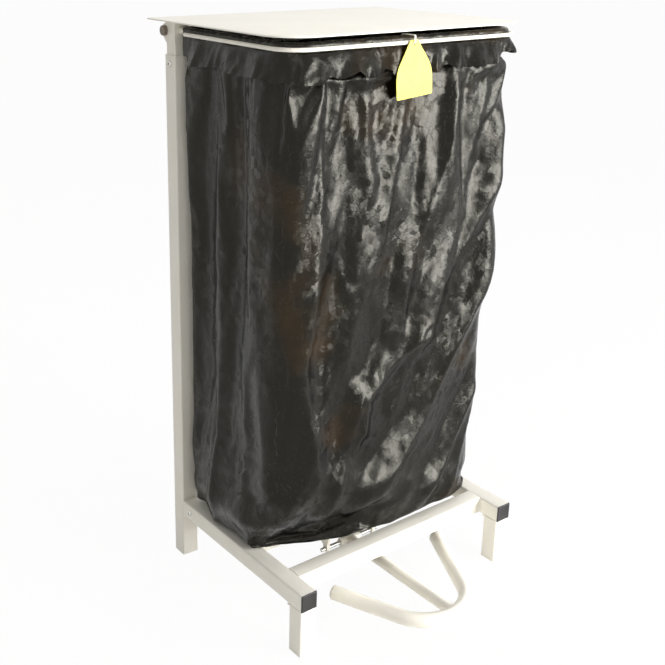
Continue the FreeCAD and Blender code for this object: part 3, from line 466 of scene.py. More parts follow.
def scatterTree(material, label):
    # Geometry Nodes: sets a small template on marked points, for screws, weld beads and spot welds
    tree = bpy.data.node_groups.new(label, "GeometryNodeTree")
    sockets = {"Geometry": "Geometry", "Template": "Object", "Size": "Float", "Unevenness": "Float"}
    for word, kind in sockets.items():
        tree.interface.new_socket(word, in_out="INPUT", socket_type="NodeSocket" + kind)
    tree.interface.new_socket("Geometry", in_out="OUTPUT", socket_type="NodeSocketGeometry")
    given = addNode(tree, "NodeGroupInput").outputs
    turn = addNode(tree, "GeometryNodeInputNamedAttribute", {"data_type": "FLOAT_VECTOR"}, Name="turn")
    template = addNode(tree, "GeometryNodeObjectInfo", None, Object=given["Template"])
    vary = addNode(tree, "FunctionNodeRandomValue", {"data_type": "FLOAT"}, Seed=7)
    limits = [s for s in vary.inputs if s.type == "VALUE" and s.name in ("Min", "Max")]
    for limit, operation in zip(limits, ("SUBTRACT", "ADD")):
        share = addNode(tree, "ShaderNodeMath", {"operation": operation}, i0=1.0, i1=given["Unevenness"])
        tree.links.new(share.outputs[0], limit)
    amount = next(o for o in vary.outputs if o.type == "VALUE" and o.enabled)
    euler = next(o for o in turn.outputs if o.type == "VECTOR")
    rotation = addNode(tree, "FunctionNodeEulerToRotation", None, Euler=euler).outputs["Rotation"]
    placed = addNode(tree, "GeometryNodeInstanceOnPoints", None, Points=given["Geometry"],
                     Instance=template.outputs["Geometry"], Rotation=rotation,
                     Scale=multiplied(tree, given["Size"], amount))
    real = addNode(tree, "GeometryNodeRealizeInstances", None, Geometry=placed.outputs["Instances"])
    dressed = addNode(tree, "GeometryNodeSetMaterial", None, Geometry=real.outputs["Geometry"],
                      Material=material)
    result = addNode(tree, "NodeGroupOutput")
    tree.links.new(dressed.outputs["Geometry"], result.inputs["Geometry"])
    return tree


def scattered(name, marks, template, material, body, size=1.0, unevenness=0.0, nodes=(), sharp=35):
    # marks are (place, euler turn); the result is one plain mesh
    mesh = meshFrom(name + "Marks", [m[0] for m in marks], [])
    turns = mesh.attributes.new("turn", "FLOAT_VECTOR", "POINT")
    turns.data.foreach_set("vector", [c for m in marks for c in m[1]])
    holder = bpy.data.objects.new(name + "Marks", mesh)
    bpy.context.scene.collection.objects.link(holder)
    tree = scatterTree(material, name + "Tree")
    change = holder.modifiers.new("scatter", "NODES")
    change.node_group = tree
    keys = {s.name: s.identifier for s in tree.interface.items_tree if s.in_out == "INPUT"}
    change[keys["Template"]] = template
    change[keys["Size"]] = size
    change[keys["Unevenness"]] = unevenness
    bpy.context.view_layer.update()
    graph = bpy.context.evaluated_depsgraph_get()
    baked = bpy.data.meshes.new_from_object(holder.evaluated_get(graph))
    holder.modifiers.clear()
    bpy.data.objects.remove(holder)
    for extra in [a for a in baked.attributes if a.name == "turn"]:
        baked.attributes.remove(extra)
    made = addPiece(name, baked, material, body)
    baked.set_sharp_from_angle(angle=math.radians(sharp))
    if nodes:
        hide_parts(*nodes)


screwLook = {
    "radius": 0.0042, "height": 0.0024,
    "flat": 0.62,  # share of the radius inside the rounded edge
    "edgeFall": 0.55, "edgeCurve": 2.4, "crown": 0.0002,
    "rings": 14, "around": 48,
    "shank": 0.0021, "length": 0.012,
    "arm": 0.0023, "slot": 0.00062, "depth": 0.0013,  # the cross recess
    "railTurn": 0.35, "uprightTurn": -0.2,  # how far each was screwed round, in radians
}


def screwTemplate(look):
    # pan head with a cross recess and its shank, pointing out along +X from the tube's face
    rings, around = look["rings"], look["around"]
    points = []
    for ring in range(rings + 1):
        share = ring / rings
        radius = look["radius"] * share
        edge = max(0.0, (share - look["flat"]) / (1 - look["flat"]))
        fall = look["edgeFall"] * edge ** look["edgeCurve"]
        rise = look["height"] * (1 - fall) - look["crown"] * share ** 2
        for step in range(around):
            angle = 2 * math.pi * (step + 0.5 * (ring % 2)) / around
            y, z = radius * math.cos(angle), radius * math.sin(angle)
            turned = ((y + z) / math.sqrt(2), (y - z) / math.sqrt(2))
            near, far = sorted((abs(turned[0]), abs(turned[1])))
            inside = near < look["slot"] and far < look["arm"]
            points.append((rise - (look["depth"] if inside else 0), y, z))
    shank = [(0.0, look["radius"]), (0.0, look["shank"]),
             (-look["length"], look["shank"]), (-look["length"], 0.0)]
    angles = [2 * math.pi * step / around for step in range(around)]
    for x, radius in shank:
        points.extend((x, radius * math.cos(angle), radius * math.sin(angle)) for angle in angles)
    work = bmesh.new()
    mesh = meshFrom("screwTemplate", points, ringFaces(rings + len(shank), around))
    work.from_mesh(mesh)
    bmesh.ops.remove_doubles(work, verts=work.verts, dist=1e-7)
    bmesh.ops.recalc_face_normals(work, faces=work.faces)
    work.to_mesh(mesh)
    work.free()
    return bpy.data.objects.new("screwTemplate", mesh)


def middleOf(node):
    low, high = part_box(node)
    return (low + high) / 2


screwMarks = []
screwNodes = []
for side, sign in (("left", -1), ("right", 1)):
    for place in ("rail", "upright"):
        node = f"{side}_{place}_screw"
        spot = middleOf(node)
        wall = sign * max(abs(corner.x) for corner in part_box(f"{side}_upright"))
        turn = (screwLook[place + "Turn"], 0, math.pi if sign < 0 else 0)
        screwMarks.append(((wall, spot.y, spot.z), turn))
        screwNodes.append(node)
scattered("crossScrews", screwMarks, screwTemplate(screwLook), zinc, "frame", nodes=screwNodes)


weldLook = {
    "bead": 0.0019, "spacing": 0.0016, "unevenness": 0.12,
    "shape": (0.9, 1.25, 0.75, 1),
    "sink": 0.0004,  # how deep a bead sits in its corner
    "skin": 0.0002,  # the same, where it only lies on a face
    "short": 0.003, "lugShort": 0.002,  # how far a seam stops before the edge
    "shake": 0.00025,
}
noise.seed_set(7)  # or noise_vector would start from the clock


def beadTemplate():
    work = bmesh.new()
    bmesh.ops.create_icosphere(work, subdivisions=2, radius=1.0, matrix=Matrix.Diagonal(weldLook["shape"]))
    return bpy.data.objects.new("beadTemplate", meshOf(work, "beadTemplate"))


def seam(start, end, wobble):
    start, end = Vector(start), Vector(end)
    count = max(2, round((end - start).length / weldLook["spacing"]))
    along = (end - start).normalized()
    turn = along.to_track_quat("X", "Z").to_euler()
    marks = []
    for step in range(count + 1):
        spot = start.lerp(end, step / count)
        shake = noise.noise_vector(spot * 700 + Vector((wobble, 0, 0))) * weldLook["shake"]
        marks.append((tuple(spot + shake), tuple(turn)))
    return marks


def frameWelds():
    marks = []
    sink, skin, short, lugShort = (weldLook[k] for k in ("sink", "skin", "short", "lugShort"))
    for side, sign in (("left", -1), ("right", 1)):
        for bar in ("front_crossbar", "middle_crossbar", "rear_crossbar"):
            low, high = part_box(bar)
            x = sign * (high.x - sink)
            for y in (low.y,) if bar == "rear_crossbar" else (low.y, high.y):
                marks += seam((x, y, low.z + short), (x, y, high.z - short), y)
            marks += seam((x, low.y + short, low.z), (x, high.y - short, low.z), 3.0)
        low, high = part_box(f"{side}_front_leg")
        inner, outer = sorted((low.x, high.x), key=abs)
        top = high.z - skin
        marks += seam((inner, high.y, top), (outer, high.y, top), 5.0)
        marks += seam((inner, low.y + short, top), (inner, high.y - short, top), 6.0)
        low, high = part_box(f"{side}_pivot_lug")
        for x in (low.x - skin, high.x + skin):
            marks += seam((x, low.y + lugShort, high.z - sink), (x, high.y - lugShort, high.z - sink), 8.0)
    return marks


bead = beadTemplate()
scattered("frameWelds", frameWelds(), bead, paint, "frame", weldLook["bead"],
          weldLook["unevenness"])


pedalWeld = {
    "loop": 0.010, "arm": 0.008,  # radii of the two tubes
    "nose": -0.2084,  # the middle of the loop's tube, at its front
    "tube": 0.0061, "tubeBeads": 24,  # round the bearing tube
    "size": 0.8,  # of a bead here, against the frame's
}


def ringSeam(centre, axis, radius, shiftAt):
    # beads round a tube's end; shiftAt gives how far along the axis each one moves to meet the other tube
    marks = []
    axis = Vector(axis).normalized()
    side = axis.orthogonal().normalized()
    other = axis.cross(side)
    count = round(2 * math.pi * radius / weldLook["spacing"])
    for step in range(count):
        angle = 2 * math.pi * step / count
        out = side * math.cos(angle) + other * math.sin(angle)
        along = other * math.cos(angle) - side * math.sin(angle)
        spot = Vector(centre) + out * radius + axis * shiftAt(out)
        shake = noise.noise_vector(spot * 600) * 0.0002
        marks.append((tuple(spot + shake), tuple(along.to_track_quat("X", "Z").to_euler())))
    return marks


def pedalWelds():
    # the coped end of the arm against the round nose of the loop, and the bearing tube through the arm
    armRadius = pedalWeld["arm"]

    def saddle(out):
        return math.sqrt(max(0.0, pedalWeld["loop"] ** 2 - (out.z * armRadius) ** 2)) - weldLook["skin"]

    marks = ringSeam((0.0, pedalWeld["nose"], middleOf("pedal_arm").z), (0, 1, 0), armRadius, saddle)
    pivot = middleOf("pivot_tube")
    for sign in (-1, 1):
        for step in range(pedalWeld["tubeBeads"]):
            angle = 2 * math.pi * step / pedalWeld["tubeBeads"]
            y, z = pedalWeld["tube"] * math.cos(angle), pedalWeld["tube"] * math.sin(angle)
            x = sign * math.sqrt(max(0.0, armRadius ** 2 - z ** 2))
            marks.append(((x, pivot.y + y, pivot.z + z), (0, angle, 0)))
    return marks


scattered("pedalWelds", pedalWelds(), bead, paint, "pedal",
          weldLook["bead"] * pedalWeld["size"], weldLook["unevenness"])


def lidSpots():
    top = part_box("lid_sheet")[1].z
    return [((x, y, top - 0.00005), (0, 0, 0)) for x, y in lidLook["spots"]]


def spotTemplate():
    # shallow dimple ring left by a spot-welding electrode
    around, rings = 32, (0.0, 0.45, 0.7, 0.85, 1.0, 1.18)
    rises = (0.00006, 0.00006, 0.0001, 0.00032, 0.0002, -0.0001)
    points = []
    for radius, rise in zip(rings, rises):
        for step in range(around):
            angle = 2 * math.pi * step / around
            out = radius * lidLook["spotRadius"]
            points.append((out * math.cos(angle), out * math.sin(angle), rise))
    mesh = meshFrom("spotTemplate", points, ringFaces(len(rings) - 1, around))
    work = bmesh.new()
    work.from_mesh(mesh)
    bmesh.ops.remove_doubles(work, verts=work.verts, dist=1e-7)
    work.to_mesh(mesh)
    work.free()
    return bpy.data.objects.new("spotTemplate", mesh)


scattered("lidSpotWelds", lidSpots(), spotTemplate(), paint, "lid")
print("stage: screws, welds and spot welds set")


# The sack: a gathered polythene tube, folded out over the rim and held by the wire
rimRod = 0.004  # radius
rimLow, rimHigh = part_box("sack_rim")
rimPlan = {  # the rod's middle line, to a tenth of a millimetre
    "half": round(rimHigh.x - rimRod, 4),
    "front": round(rimLow.y + rimRod, 4),
    "rear": round(middleOf("rim_rear_rod").y, 4),
    "height": round(middleOf("sack_rim").z, 4),
}
bagShape = {
    # height, growth beyond the rim, front-left, front-right and rear corner radii
    "levels": [
        (0.7660, -0.0046, 0.022, 0.022, 0.005),
        (0.7480, -0.0044, 0.022, 0.022, 0.005),
        (0.7220, 0.0030, 0.034, 0.034, 0.014),
        (0.6000, 0.0036, 0.036, 0.036, 0.014),
        (0.3000, 0.0010, 0.040, 0.036, 0.014),
        (0.1500, 0.0045, 0.040, 0.036, 0.014),
        (0.1120, 0.0000, 0.030, 0.036, 0.014),
        (0.0965, -0.0090, 0.024, 0.034, 0.014),
    ],
    "around": 224,
    "rows": 118,
    "bottomRings": 16,
    "swell": -0.075,  # cloth shrink factor; below zero the film grows and buckles
    "gravity": 0.15,  # share of the real one
    "frames": 22,
    "reach": 0.0085,  # how far the simulation may move a point
    "seed": 11.0,
    "leftOut": 0.014, "leftFrom": 0.24, "leftSide": 0.17,  # the foot spreads over the left rail
    "tuck": [(-0.197, -0.004), (-0.058, -0.066)],  # the drawn-in front-left corner of the foot
    "tuckFrom": 0.20, "tuckCurve": 1.5,
    "footFull": 0.11,  # the height where the foot has its own plan in full
    "girth": 1.2,
    "lowest": 0.0934,  # just over the crossbars
    "bottom": {"middle": (0.0, 0.04, 0.0945), "height": 0.0952, "bumps": 30, "high": 0.003, "up": 0.0012,
               "sag": 0.003, "top": 0.104},
    # folds: how many to the metre round the sack and up it, and how high they stand
    "gathers": (34, 2.2, 0.0030),
    "folds": (13, 2.6, 0.0056),
    "small": (30, 9.0, 0.0019),
    "slump": (14, 16, 0.0044),
    "slant": 0.30,
    "sunk": 0.0070,
    "gathered": (0.60, 0.74), "slumpedFrom": (0.26, 0.11),  # heights between which these grow
    "creaseSides": (1.5, 0.5),  # width of a crease's face and of its back
    # how far the film may stand out beyond the rim's line
    "room": {"uprights": 0.0040, "rear": 0.0075, "rearSides": 0.0100, "neck": 0.0085, "front": 0.0180},
    "uprightX": 0.16, "sideY": 0.10, "neckZ": 0.70,  # where each of these begins
    "tag": {"x": -0.006, "half": 0.04, "low": 0.69},
    "uprightCorner": (0.165, 0.146), "uprightFace": 0.1578,  # no film goes past it beside the uprights
}


def ramp(value, start, end):
    return max(0.0, min(1.0, (value - start) / (end - start)))


def planLine(grow, radii, count):
    # points round a rounded rectangle, from the middle of the rear, clockwise seen from above
    half, front, rear = rimPlan["half"] + grow, rimPlan["front"] - grow, rimPlan["rear"] + grow
    frontLeft, frontRight, back = radii
    corners = [(half, rear, back), (half, front, frontRight), (-half, front, frontLeft), (-half, rear, back)]
    path = [(0.0, rear)]
    inward = [(-1, -1), (-1, 1), (1, 1), (1, -1)]
    for (x, y, radius), (ix, iy), first in zip(corners, inward, (90, 0, -90, 180)):
        cx, cy = x + ix * radius, y + iy * radius
        for step in range(13):
            angle = math.radians(first - 90 * step / 12)
            path.append((cx + radius * math.cos(angle), cy + radius * math.sin(angle)))
    path.append((0.0, rear))
    lengths = [0.0]
    for a, b in zip(path, path[1:]):
        lengths.append(lengths[-1] + math.dist(a, b))
    made, at = [], 0
    for step in range(count):
        want = lengths[-1] * step / count
        while lengths[at + 1] < want:
            at += 1
        span = lengths[at + 1] - lengths[at] or 1.0
        mix = (want - lengths[at]) / span
        made.append((path[at][0] + (path[at + 1][0] - path[at][0]) * mix,
                     path[at][1] + (path[at + 1][1] - path[at][1]) * mix))
    return made


def slumped(line, height):
    # the foot's own plan: spread over the left rail, its front-left corner drawn in along a straight tuck
    low = ramp(height, bagShape["leftFrom"], bagShape["footFull"])
    tucked = ramp(height, bagShape["tuckFrom"], bagShape["footFull"]) ** bagShape["tuckCurve"]
    (x0, y0), (x1, y1) = bagShape["tuck"]
    length = math.hypot(x1 - x0, y1 - y0)
    nx, ny = (y1 - y0) / length, -(x1 - x0) / length
    made = []
    for x, y in line:
        if x < 0:
            spread = min(1.0, -x / bagShape["leftSide"]) ** 3 * ramp(y, 0.13, 0.08)
            x -= bagShape["leftOut"] * low * spread
        past = (x - x0) * nx + (y - y0) * ny
        if past > 0:
            x, y = x - nx * past * tucked, y - ny * past * tucked
        made.append((x, y))
    return made


def outwardOf(line):
    count = len(line)
    made = []
    for i in range(count):
        (x0, y0), (x1, y1) = line[i - 2], line[(i + 2) % count]
        dx, dy = x1 - x0, y1 - y0
        size = math.hypot(dx, dy) or 1.0
        made.append((-dy / size, dx / size))
    return made


def levelAt(height):
    levels = bagShape["levels"]
    if height >= levels[0][0]:
        return levels[0][1:]
    for upper, lower in zip(levels, levels[1:]):
        if height >= lower[0]:
            mix = (upper[0] - height) / (upper[0] - lower[0])
            mix = mix * mix * (3 - 2 * mix)
            return tuple(a + (b - a) * mix for a, b in zip(upper[1:], lower[1:]))
    return levels[-1][1:]


# long creases of the filled film on the front, as (x, z) corners in metres, with height and width
# each has a flat face on its upper left and a steep back on its lower right
creases = [
    {"line": [(0.184, 0.640), (0.178, 0.593), (0.132, 0.516), (0.072, 0.445), (0.051, 0.383)],
     "high": 0.0150, "wide": 0.027},
    {"line": [(0.186, 0.500), (0.153, 0.422), (0.104, 0.349), (0.055, 0.259), (-0.010, 0.189),
              (-0.043, 0.156)],
     "high": 0.0150, "wide": 0.027},
    {"line": [(0.031, 0.384), (-0.051, 0.314), (-0.055, 0.270)], "high": 0.0120, "wide": 0.022},
    {"line": [(0.182, 0.300), (0.120, 0.190), (0.060, 0.118)], "high": 0.0080, "wide": 0.020},
    {"line": [(-0.070, 0.735), (-0.062, 0.600), (-0.074, 0.475)], "high": 0.0080, "wide": 0.017},
    {"line": [(0.096, 0.730), (0.072, 0.620), (0.024, 0.500), (0.002, 0.400)], "high": 0.0085, "wide": 0.019},
    {"line": [(0.146, 0.740), (0.128, 0.640), (0.110, 0.540)], "high": 0.0080, "wide": 0.017},
    {"line": [(-0.130, 0.700), (-0.128, 0.560), (-0.150, 0.380), (-0.128, 0.220)],
     "high": 0.0070, "wide": 0.020},
    {"line": [(-0.060, 0.330), (-0.080, 0.250), (-0.110, 0.150)], "high": 0.0065, "wide": 0.016},
    {"line": [(0.176, 0.260), (0.150, 0.180), (0.120, 0.110)], "high": 0.0070, "wide": 0.016},
    {"line": [(0.000, 0.720), (-0.012, 0.640), (-0.030, 0.560)], "high": 0.0065, "wide": 0.014},
]


def distanceTo(line, x, z):
    best, side = 1.0, 1.0
    for (x0, z0), (x1, z1) in zip(line, line[1:]):
        dx, dz = x1 - x0, z1 - z0
        mix = max(0.0, min(1.0, ((x - x0) * dx + (z - z0) * dz) / (dx * dx + dz * dz)))
        gap = math.hypot(x - x0 - dx * mix, z - z0 - dz * mix)
        if gap < best:
            best, side = gap, math.copysign(1.0, (x - x0) * dz - (z - z0) * dx)
    return best, side


def ridged(point):
    return 1 - 2 * abs(noise.noise(point))


def foldHeight(along, x, z, frontness):
    # outward shift of the film before the simulation: gathers at the neck, longer folds, slumped crumples
    slanted = along + bagShape["slant"] * (z - 0.4) * frontness

    def wave(kind, at, shift, form):
        toRound, toHeight, high = bagShape[kind]
        return form(Vector((at * toRound, z * toHeight, bagShape["seed"] + shift))) * high

    gathers = wave("gathers", along, 0, ridged) * ramp(z, *bagShape["gathered"])
    slump = wave("slump", along, 13, noise.noise) * ramp(z, *bagShape["slumpedFrom"])
    folds = wave("folds", slanted, 5, ridged) + wave("small", slanted, 9, ridged)
    total = gathers + folds + slump - bagShape["sunk"]
    if frontness > 0:
        for crease in creases:
            gap, side = distanceTo(crease["line"], x, z)
            wide = crease["wide"] * bagShape["creaseSides"][0 if side > 0 else 1]
            if gap < 4 * wide:
                lift = max(0.0, 1 - gap / wide) if side > 0 else math.exp(-gap / wide)
                total += frontness * crease["high"] * lift
    return total


def roomOutwards(x, y, z, ox, oy):
    room, tag = bagShape["room"], bagShape["tag"]
    if oy > 0.5:  # rear: uprights beside it and the push rod behind it
        return room["uprights"] if abs(x) > bagShape["uprightX"] else room["rear"]
    if y > bagShape["sideY"] and abs(ox) > 0.5:
        return room["rearSides"]
    behindTag = oy < -0.5 and abs(x - tag["x"]) < tag["half"] and z > tag["low"]
    return room["neck"] if behindTag or z > bagShape["neckZ"] else room["front"]


def buildBag():
    around, rows, bottom = bagShape["around"], bagShape["rows"], bagShape["bottom"]
    high, low = bagShape["levels"][0][0], bagShape["levels"][-1][0]
    points, base = [], []
    for row in range(rows + 1):
        z = high + (low - high) * row / rows
        grow, *radii = levelAt(z)
        line = slumped(planLine(grow, radii, around), z)
        for step, ((x, y), (ox, oy)) in enumerate(zip(line, outwardOf(line))):
            along = bagShape["girth"] * step / around
            lift = foldHeight(along, x, z, ramp(-oy, 0.3, 0.9)) * min(1.0, row / 5)
            lift = min(lift, roomOutwards(x, y, z, ox, oy) - grow)
            if row >= rows - 2:
                lift *= 0.5
            points.append(Vector((x + ox * lift, y + oy * lift, z)))
            base.append((Vector((x, y, z)), Vector((ox, oy, 0)), grow))
    middle = Vector(bottom["middle"])
    edge = [spot.copy() for spot in points[rows * around:]]
    for ring in range(1, bagShape["bottomRings"] + 1):
        mix = ring / (bagShape["bottomRings"] + 1)
        for start in edge:
            spot = start.lerp(Vector((middle.x, middle.y, start.z)), mix)
            bump = noise.noise(Vector((spot.x * bottom["bumps"], spot.y * bottom["bumps"], 2.0)))
            sag = bottom["sag"] * math.sin(math.pi * min(1, mix * 3))
            spot.z = max(bagShape["lowest"], bottom["height"] + (bump * bottom["high"] + bottom["up"]) - sag)
            points.append(spot)
            base.append((spot.copy(), Vector((0, 0, -1)), 0.0))
    rings = rows + bagShape["bottomRings"]
    faces = ringFaces(rings, around, flipped=True)
    centre, start = len(points), rings * around
    points.append(middle)
    base.append((middle.copy(), Vector((0, 0, -1)), 0.0))
    for step in range(around):
        faces.append((start + step, start + (step + 1) % around, centre))
    return meshFrom("sackBody", points, faces), points, base


clothFacts = {
    "quality": 5,
    "mass": 0.08,
    "tension_stiffness": 18, "compression_stiffness": 18, "shear_stiffness": 8, "bending_stiffness": 0.04,
    "tension_damping": 6, "compression_damping": 6, "shear_damping": 6, "bending_damping": 0.5,
    "air_damping": 2.0,
}


def settleFilm(made, start, held, shape, keepIn):
    # the film grows a little and buckles under its own weight; held points stay
    pins = made.vertex_groups.new(name="held")
    pins.add(held, 1.0, "REPLACE")
    change = made.modifiers.new("film", "CLOTH")
    cloth = change.settings
    for word, value in clothFacts.items():
        setattr(cloth, word, value)
    cloth.shrink_min = shape["swell"]
    cloth.vertex_group_mass = "held"
    cloth.effector_weights.gravity = shape["gravity"]
    change.collision_settings.use_collision = False
    change.collision_settings.use_self_collision = False
    change.point_cache.frame_start = 1
    change.point_cache.frame_end = shape["frames"] + 1
    scene = bpy.context.scene
    for step in range(1, shape["frames"] + 1):
        scene.frame_set(step)
    graph = bpy.context.evaluated_depsgraph_get()
    moved = [v.co.copy() for v in made.evaluated_get(graph).data.vertices]
    made.modifiers.remove(change)
    made.vertex_groups.clear()
    scene.frame_set(1)
    for index, vert in enumerate(made.data.vertices):
        shift = moved[index] - start[index]
        if shift.length > shape["reach"]:
            shift *= shape["reach"] / shift.length
        vert.co = keepIn(index, start[index] + shift)
    made.data.update()


bagMesh, bagStart, bagBase = buildBag()
bag = addPiece("sackBody", bagMesh, film, "frame")


def keepBagIn(index, spot):
    anchor, out, grow = bagBase[index]
    if out.z < 0:
        spot.z = min(max(spot.z, bagShape["lowest"]), bagShape["bottom"]["top"])
        return spot
    room = roomOutwards(anchor.x, anchor.y, anchor.z, out.x, out.y) - grow
    lift = (spot - anchor).dot(out)
    if lift > room:
        spot = spot - out * (lift - room)
    spot.z = max(spot.z, bagShape["lowest"] + 0.0002)
    cornerX, cornerY = bagShape["uprightCorner"]
    if anchor.y > cornerY and abs(anchor.x) > cornerX:
        spot.y = min(spot.y, bagShape["uprightFace"])
    return spot


topRows = list(range(4 * bagShape["around"]))
bottomRows = list(range(bagShape["rows"] * bagShape["around"], len(bagStart)))
settleFilm(bag, bagStart, topRows + bottomRows, bagShape, keepBagIn)
finer = bag.modifiers.new("finer", "SUBSURF")
finer.levels = finer.render_levels = 1
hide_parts("sack")
print("stage: sack body settled")


cuffShape = {
    "around": 420,
    "girth": 1.19,
    "corners": (0.026, 0.026, 0.008),  # front-left, front-right and rear corner radii
    "roll": 0.0049,  # from the rim rod's middle to the film over it
    "inside": [(-0.0046, 0.7560), (-0.0048, 0.7640)],  # offset and height, inside the rim
    "outside": [(0.0052, 0.0015), (0.0053, 0.0035)],  # offset and drop, outside it
    "behindWire": 0.0056, "wireDrop": 0.0058,  # the same, where the film hangs on under the wire
    "ripple": (0.0009216, 0.0004),  # of the film over the rod, upwards and outwards
    "ripples": 70,  # to the metre
    "hangingRows": 12,
    "hem": 0.7420,  # mean height of the hem
    "flare": 0.0045,  # how far the hem stands out from the wire's line
    "hemWaves": (17, 0.010),  # to the metre, and how high
    "hemTears": (46, 0.0045),
    "lobes": [  # (x on the front run, how far the hem drops, how far it stands out, half width)
        (0.098, 0.015, 0.009, 0.026), (0.064, 0.008, 0.005, 0.012), (0.030, 0.014, 0.002, 0.016),
        (0.135, 0.006, 0.007, 0.012), (0.168, -0.006, 0.002, 0.014), (-0.030, 0.012, 0.004, 0.014),
        (-0.075, 0.016, 0.007, 0.018), (-0.118, 0.010, 0.005, 0.016), (-0.160, 0.016, 0.003, 0.020),
    ],
    "pleats": [(24, 14, 0.0072, 3), (66, 34, 0.0022, 5)],  # to the metre round and down, height, seed shift
    "slant": 0.45,
    "tag": {"x": -0.006, "half": 0.034, "room": 0.0108},
    "uprights": {"x": 0.16, "y": 0.135, "room": 0.0047, "lowest": 0.7416},
    "seed": 23.0,
}


def rolledRows():
    # inside the rim, over its rod and behind the wire: offset from the rim's line, height, whether it ripples
    rise, roll = rimPlan["height"], cuffShape["roll"]
    made = [(grow, z, False) for grow, z in cuffShape["inside"] + [(-roll, rise - 0.003)]]
    for step in range(9):
        angle = math.radians(180 - 22.5 * step)
        made.append((roll * math.cos(angle), rise + roll * math.sin(angle), True))
    under = cuffShape["outside"] + [(cuffShape["behindWire"], cuffShape["wireDrop"])]
    return made + [(grow, rise - drop, False) for grow, drop in under]


def rolledFilm(row, x, y, ox, oy, along):
    grow, z, ripples = row
    if ripples:
        wave = ridged(Vector((along * cuffShape["ripples"], 1.0, cuffShape["seed"] + 6)))
        z += max(0.0, wave) * cuffShape["ripple"][0]
        grow += wave * cuffShape["ripple"][1]
    uprights = cuffShape["uprights"]
    if y > uprights["y"] and abs(x) > uprights["x"]:
        grow = min(grow, uprights["room"])
    return grow, z


def hemAt(x, ox, oy, along):
    # how far the hem is from its mean height, and how far it stands out
    shape = cuffShape
    drop = sum(high * form(Vector((along * toRound, 0.0, shape["seed"])))
               for form, (toRound, high) in ((noise.noise, shape["hemWaves"]), (ridged, shape["hemTears"])))
    stand = shape["flare"]
    if oy < -0.7:
        for spotX, down, proud, wide in shape["lobes"]:
            near = math.exp(-((x - spotX) / wide) ** 2)
            drop -= down * near
            stand += proud * near
    if ox < -0.5:
        drop, stand = 0.5 * drop - 0.010, 0.5 * stand
    return drop, stand


def hangingFilm(mix, x, y, ox, oy, along):
    # below the wire, a share mix of the way down to the hem
    seed, tag, uprights = (cuffShape[k] for k in ("seed", "tag", "uprights"))
    drop, stand = hemAt(x, ox, oy, along)
    wireLow = rimPlan["height"] - cuffShape["wireDrop"]
    z = wireLow + (cuffShape["hem"] + drop - wireLow) * mix
    slant = along + cuffShape["slant"] * (z - 0.75)
    waves = sum(ridged(Vector((slant * toRound, z * toHeight, seed + shift))) * high
                for toRound, toHeight, high, shift in cuffShape["pleats"])
    grow = cuffShape["behindWire"] + stand * mix ** 0.8 + waves * (0.15 + 0.85 * mix)
    grow = max(grow, cuffShape["behindWire"] + 0.0002)
    z += noise.noise(Vector((along * 90, mix * 2, seed + 8))) * 0.0012 * mix
    if oy < -0.5 and abs(x - tag["x"]) < tag["half"]:  # behind the tag
        grow = min(grow, tag["room"])
    if y > uprights["y"]:  # between the uprights
        grow, z = min(grow, uprights["room"]), max(z, uprights["lowest"])
    return grow, z


def buildCuff():
    around, hangingRows = cuffShape["around"], cuffShape["hangingRows"]
    line = planLine(0.0, cuffShape["corners"], around)
    out = outwardOf(line)
    rows = [(rolledFilm, row) for row in rolledRows()]
    rows += [(hangingFilm, (step + 1) / hangingRows) for step in range(hangingRows)]
    points = []
    for make, row in rows:
        for step in range(around):
            (x, y), (ox, oy) = line[step], out[step]
            grow, z = make(row, x, y, ox, oy, cuffShape["girth"] * step / around)
            points.append((x + ox * grow, y + oy * grow, z))
    return meshFrom("sackCuff", points, ringFaces(len(rows) - 1, around))


cuff = addPiece("sackCuff", buildCuff(), film, "frame")
finer = cuff.modifiers.new("finer", "SUBSURF")
finer.levels = finer.render_levels = 1
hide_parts("sack")


# flat, the film is 1.3 m round, twice the lay-flat width of a 650 mm sack
print("stage: cuff made")


stageFacts = {
    "floor": "#f4f3f0",
    "floorHalf": 40,
    "floorGlow": 0.96,  # how much of the floor's white is its own, where it is the background
    "ambient": 0.30,
    "aim": (0, 0.03, 0.42),
    "softboxes": {  # watts, place, width and height
        "keySoftbox": (112, (1.3, -2.1, 0.75), (1.7, 1.2)),
        "fillSoftbox": (6, (-1.9, -1.3, 1.9), (0.9, 0.9)),
        "topSoftbox": (20, (0.3, 0.1, 2.6), (1.3, 1.3)),
    },
}


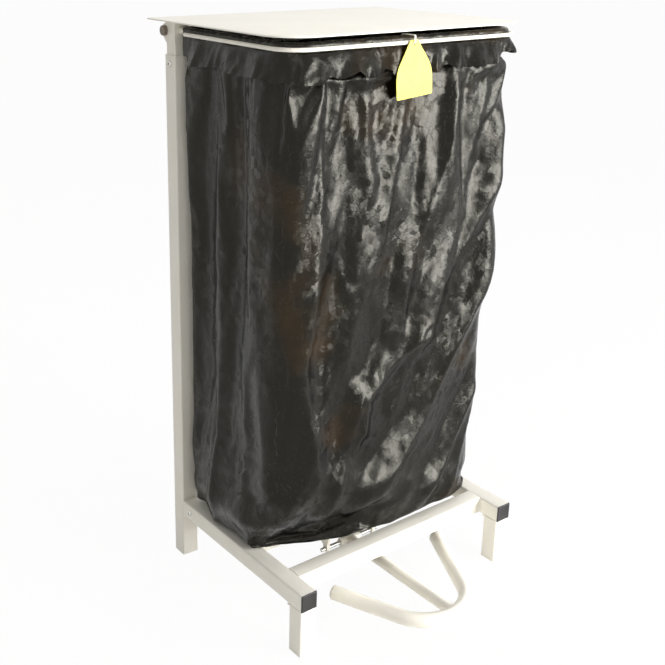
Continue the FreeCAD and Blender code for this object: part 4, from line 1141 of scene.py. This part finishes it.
def raysOf(tree, *kinds):
    rays = addNode(tree, "ShaderNodeLightPath").outputs
    seen = rays[kinds[0]]
    for kind in kinds[1:]:
        seen = addNode(tree, "ShaderNodeMath", {"operation": "MAXIMUM"}, i0=seen, i1=rays[kind]).outputs[0]
    return seen


def addFloor():
    half = stageFacts["floorHalf"]
    corners = [(-half, -half, 0), (half, -half, 0), (half, half, 0), (-half, half, 0)]
    mesh = meshFrom("studioFloor", corners, [(0, 1, 2, 3)])
    floor = bpy.data.objects.new("studioFloor", mesh)
    bpy.context.scene.collection.objects.link(floor)
    made, tree, shader, _ = newMaterial("paleStudioFloor", Roughness=0.9,
                                        Base_Color=colour(stageFacts["floor"]))
    glow = addNode(tree, "ShaderNodeEmission", None, Color=(1, 1, 1, 1), Strength=1.0)
    share = multiplied(tree, raysOf(tree, "Is Camera Ray", "Is Glossy Ray"), stageFacts["floorGlow"])
    blend = addNode(tree, "ShaderNodeMixShader", None, Fac=share, i1=shader.outputs["BSDF"],
                    i2=glow.outputs["Emission"])
    tree.links.new(blend.outputs["Shader"], tree.nodes["Material Output"].inputs["Surface"])
    mesh.materials.append(made)


def addSoftbox(name, watts, place, size):
    lamp = bpy.data.lights.new(name, "AREA")
    lamp.shape, lamp.energy = "RECTANGLE", watts
    lamp.size, lamp.size_y = size
    box = bpy.data.objects.new(name, lamp)
    box.location = place
    box.rotation_euler = (Vector(stageFacts["aim"]) - Vector(place)).to_track_quat("-Z", "Y").to_euler()
    bpy.context.scene.collection.objects.link(box)


def addWorld():
    world = bpy.data.worlds.new("studio")
    bpy.context.scene.world = world
    world.use_nodes = True
    tree = world.node_tree
    sky = tree.nodes["Background"]
    sky.inputs["Color"].default_value = (1, 1, 1, 1)
    seen = raysOf(tree, "Is Camera Ray", "Is Transmission Ray", "Is Glossy Ray")
    tree.links.new(ranged(tree, seen, 0, 1, stageFacts["ambient"], 1.0), sky.inputs["Strength"])


addFloor()
addWorld()
for name, facts in stageFacts["softboxes"].items():
    addSoftbox(name, *facts)
print("stage: floor and light set")
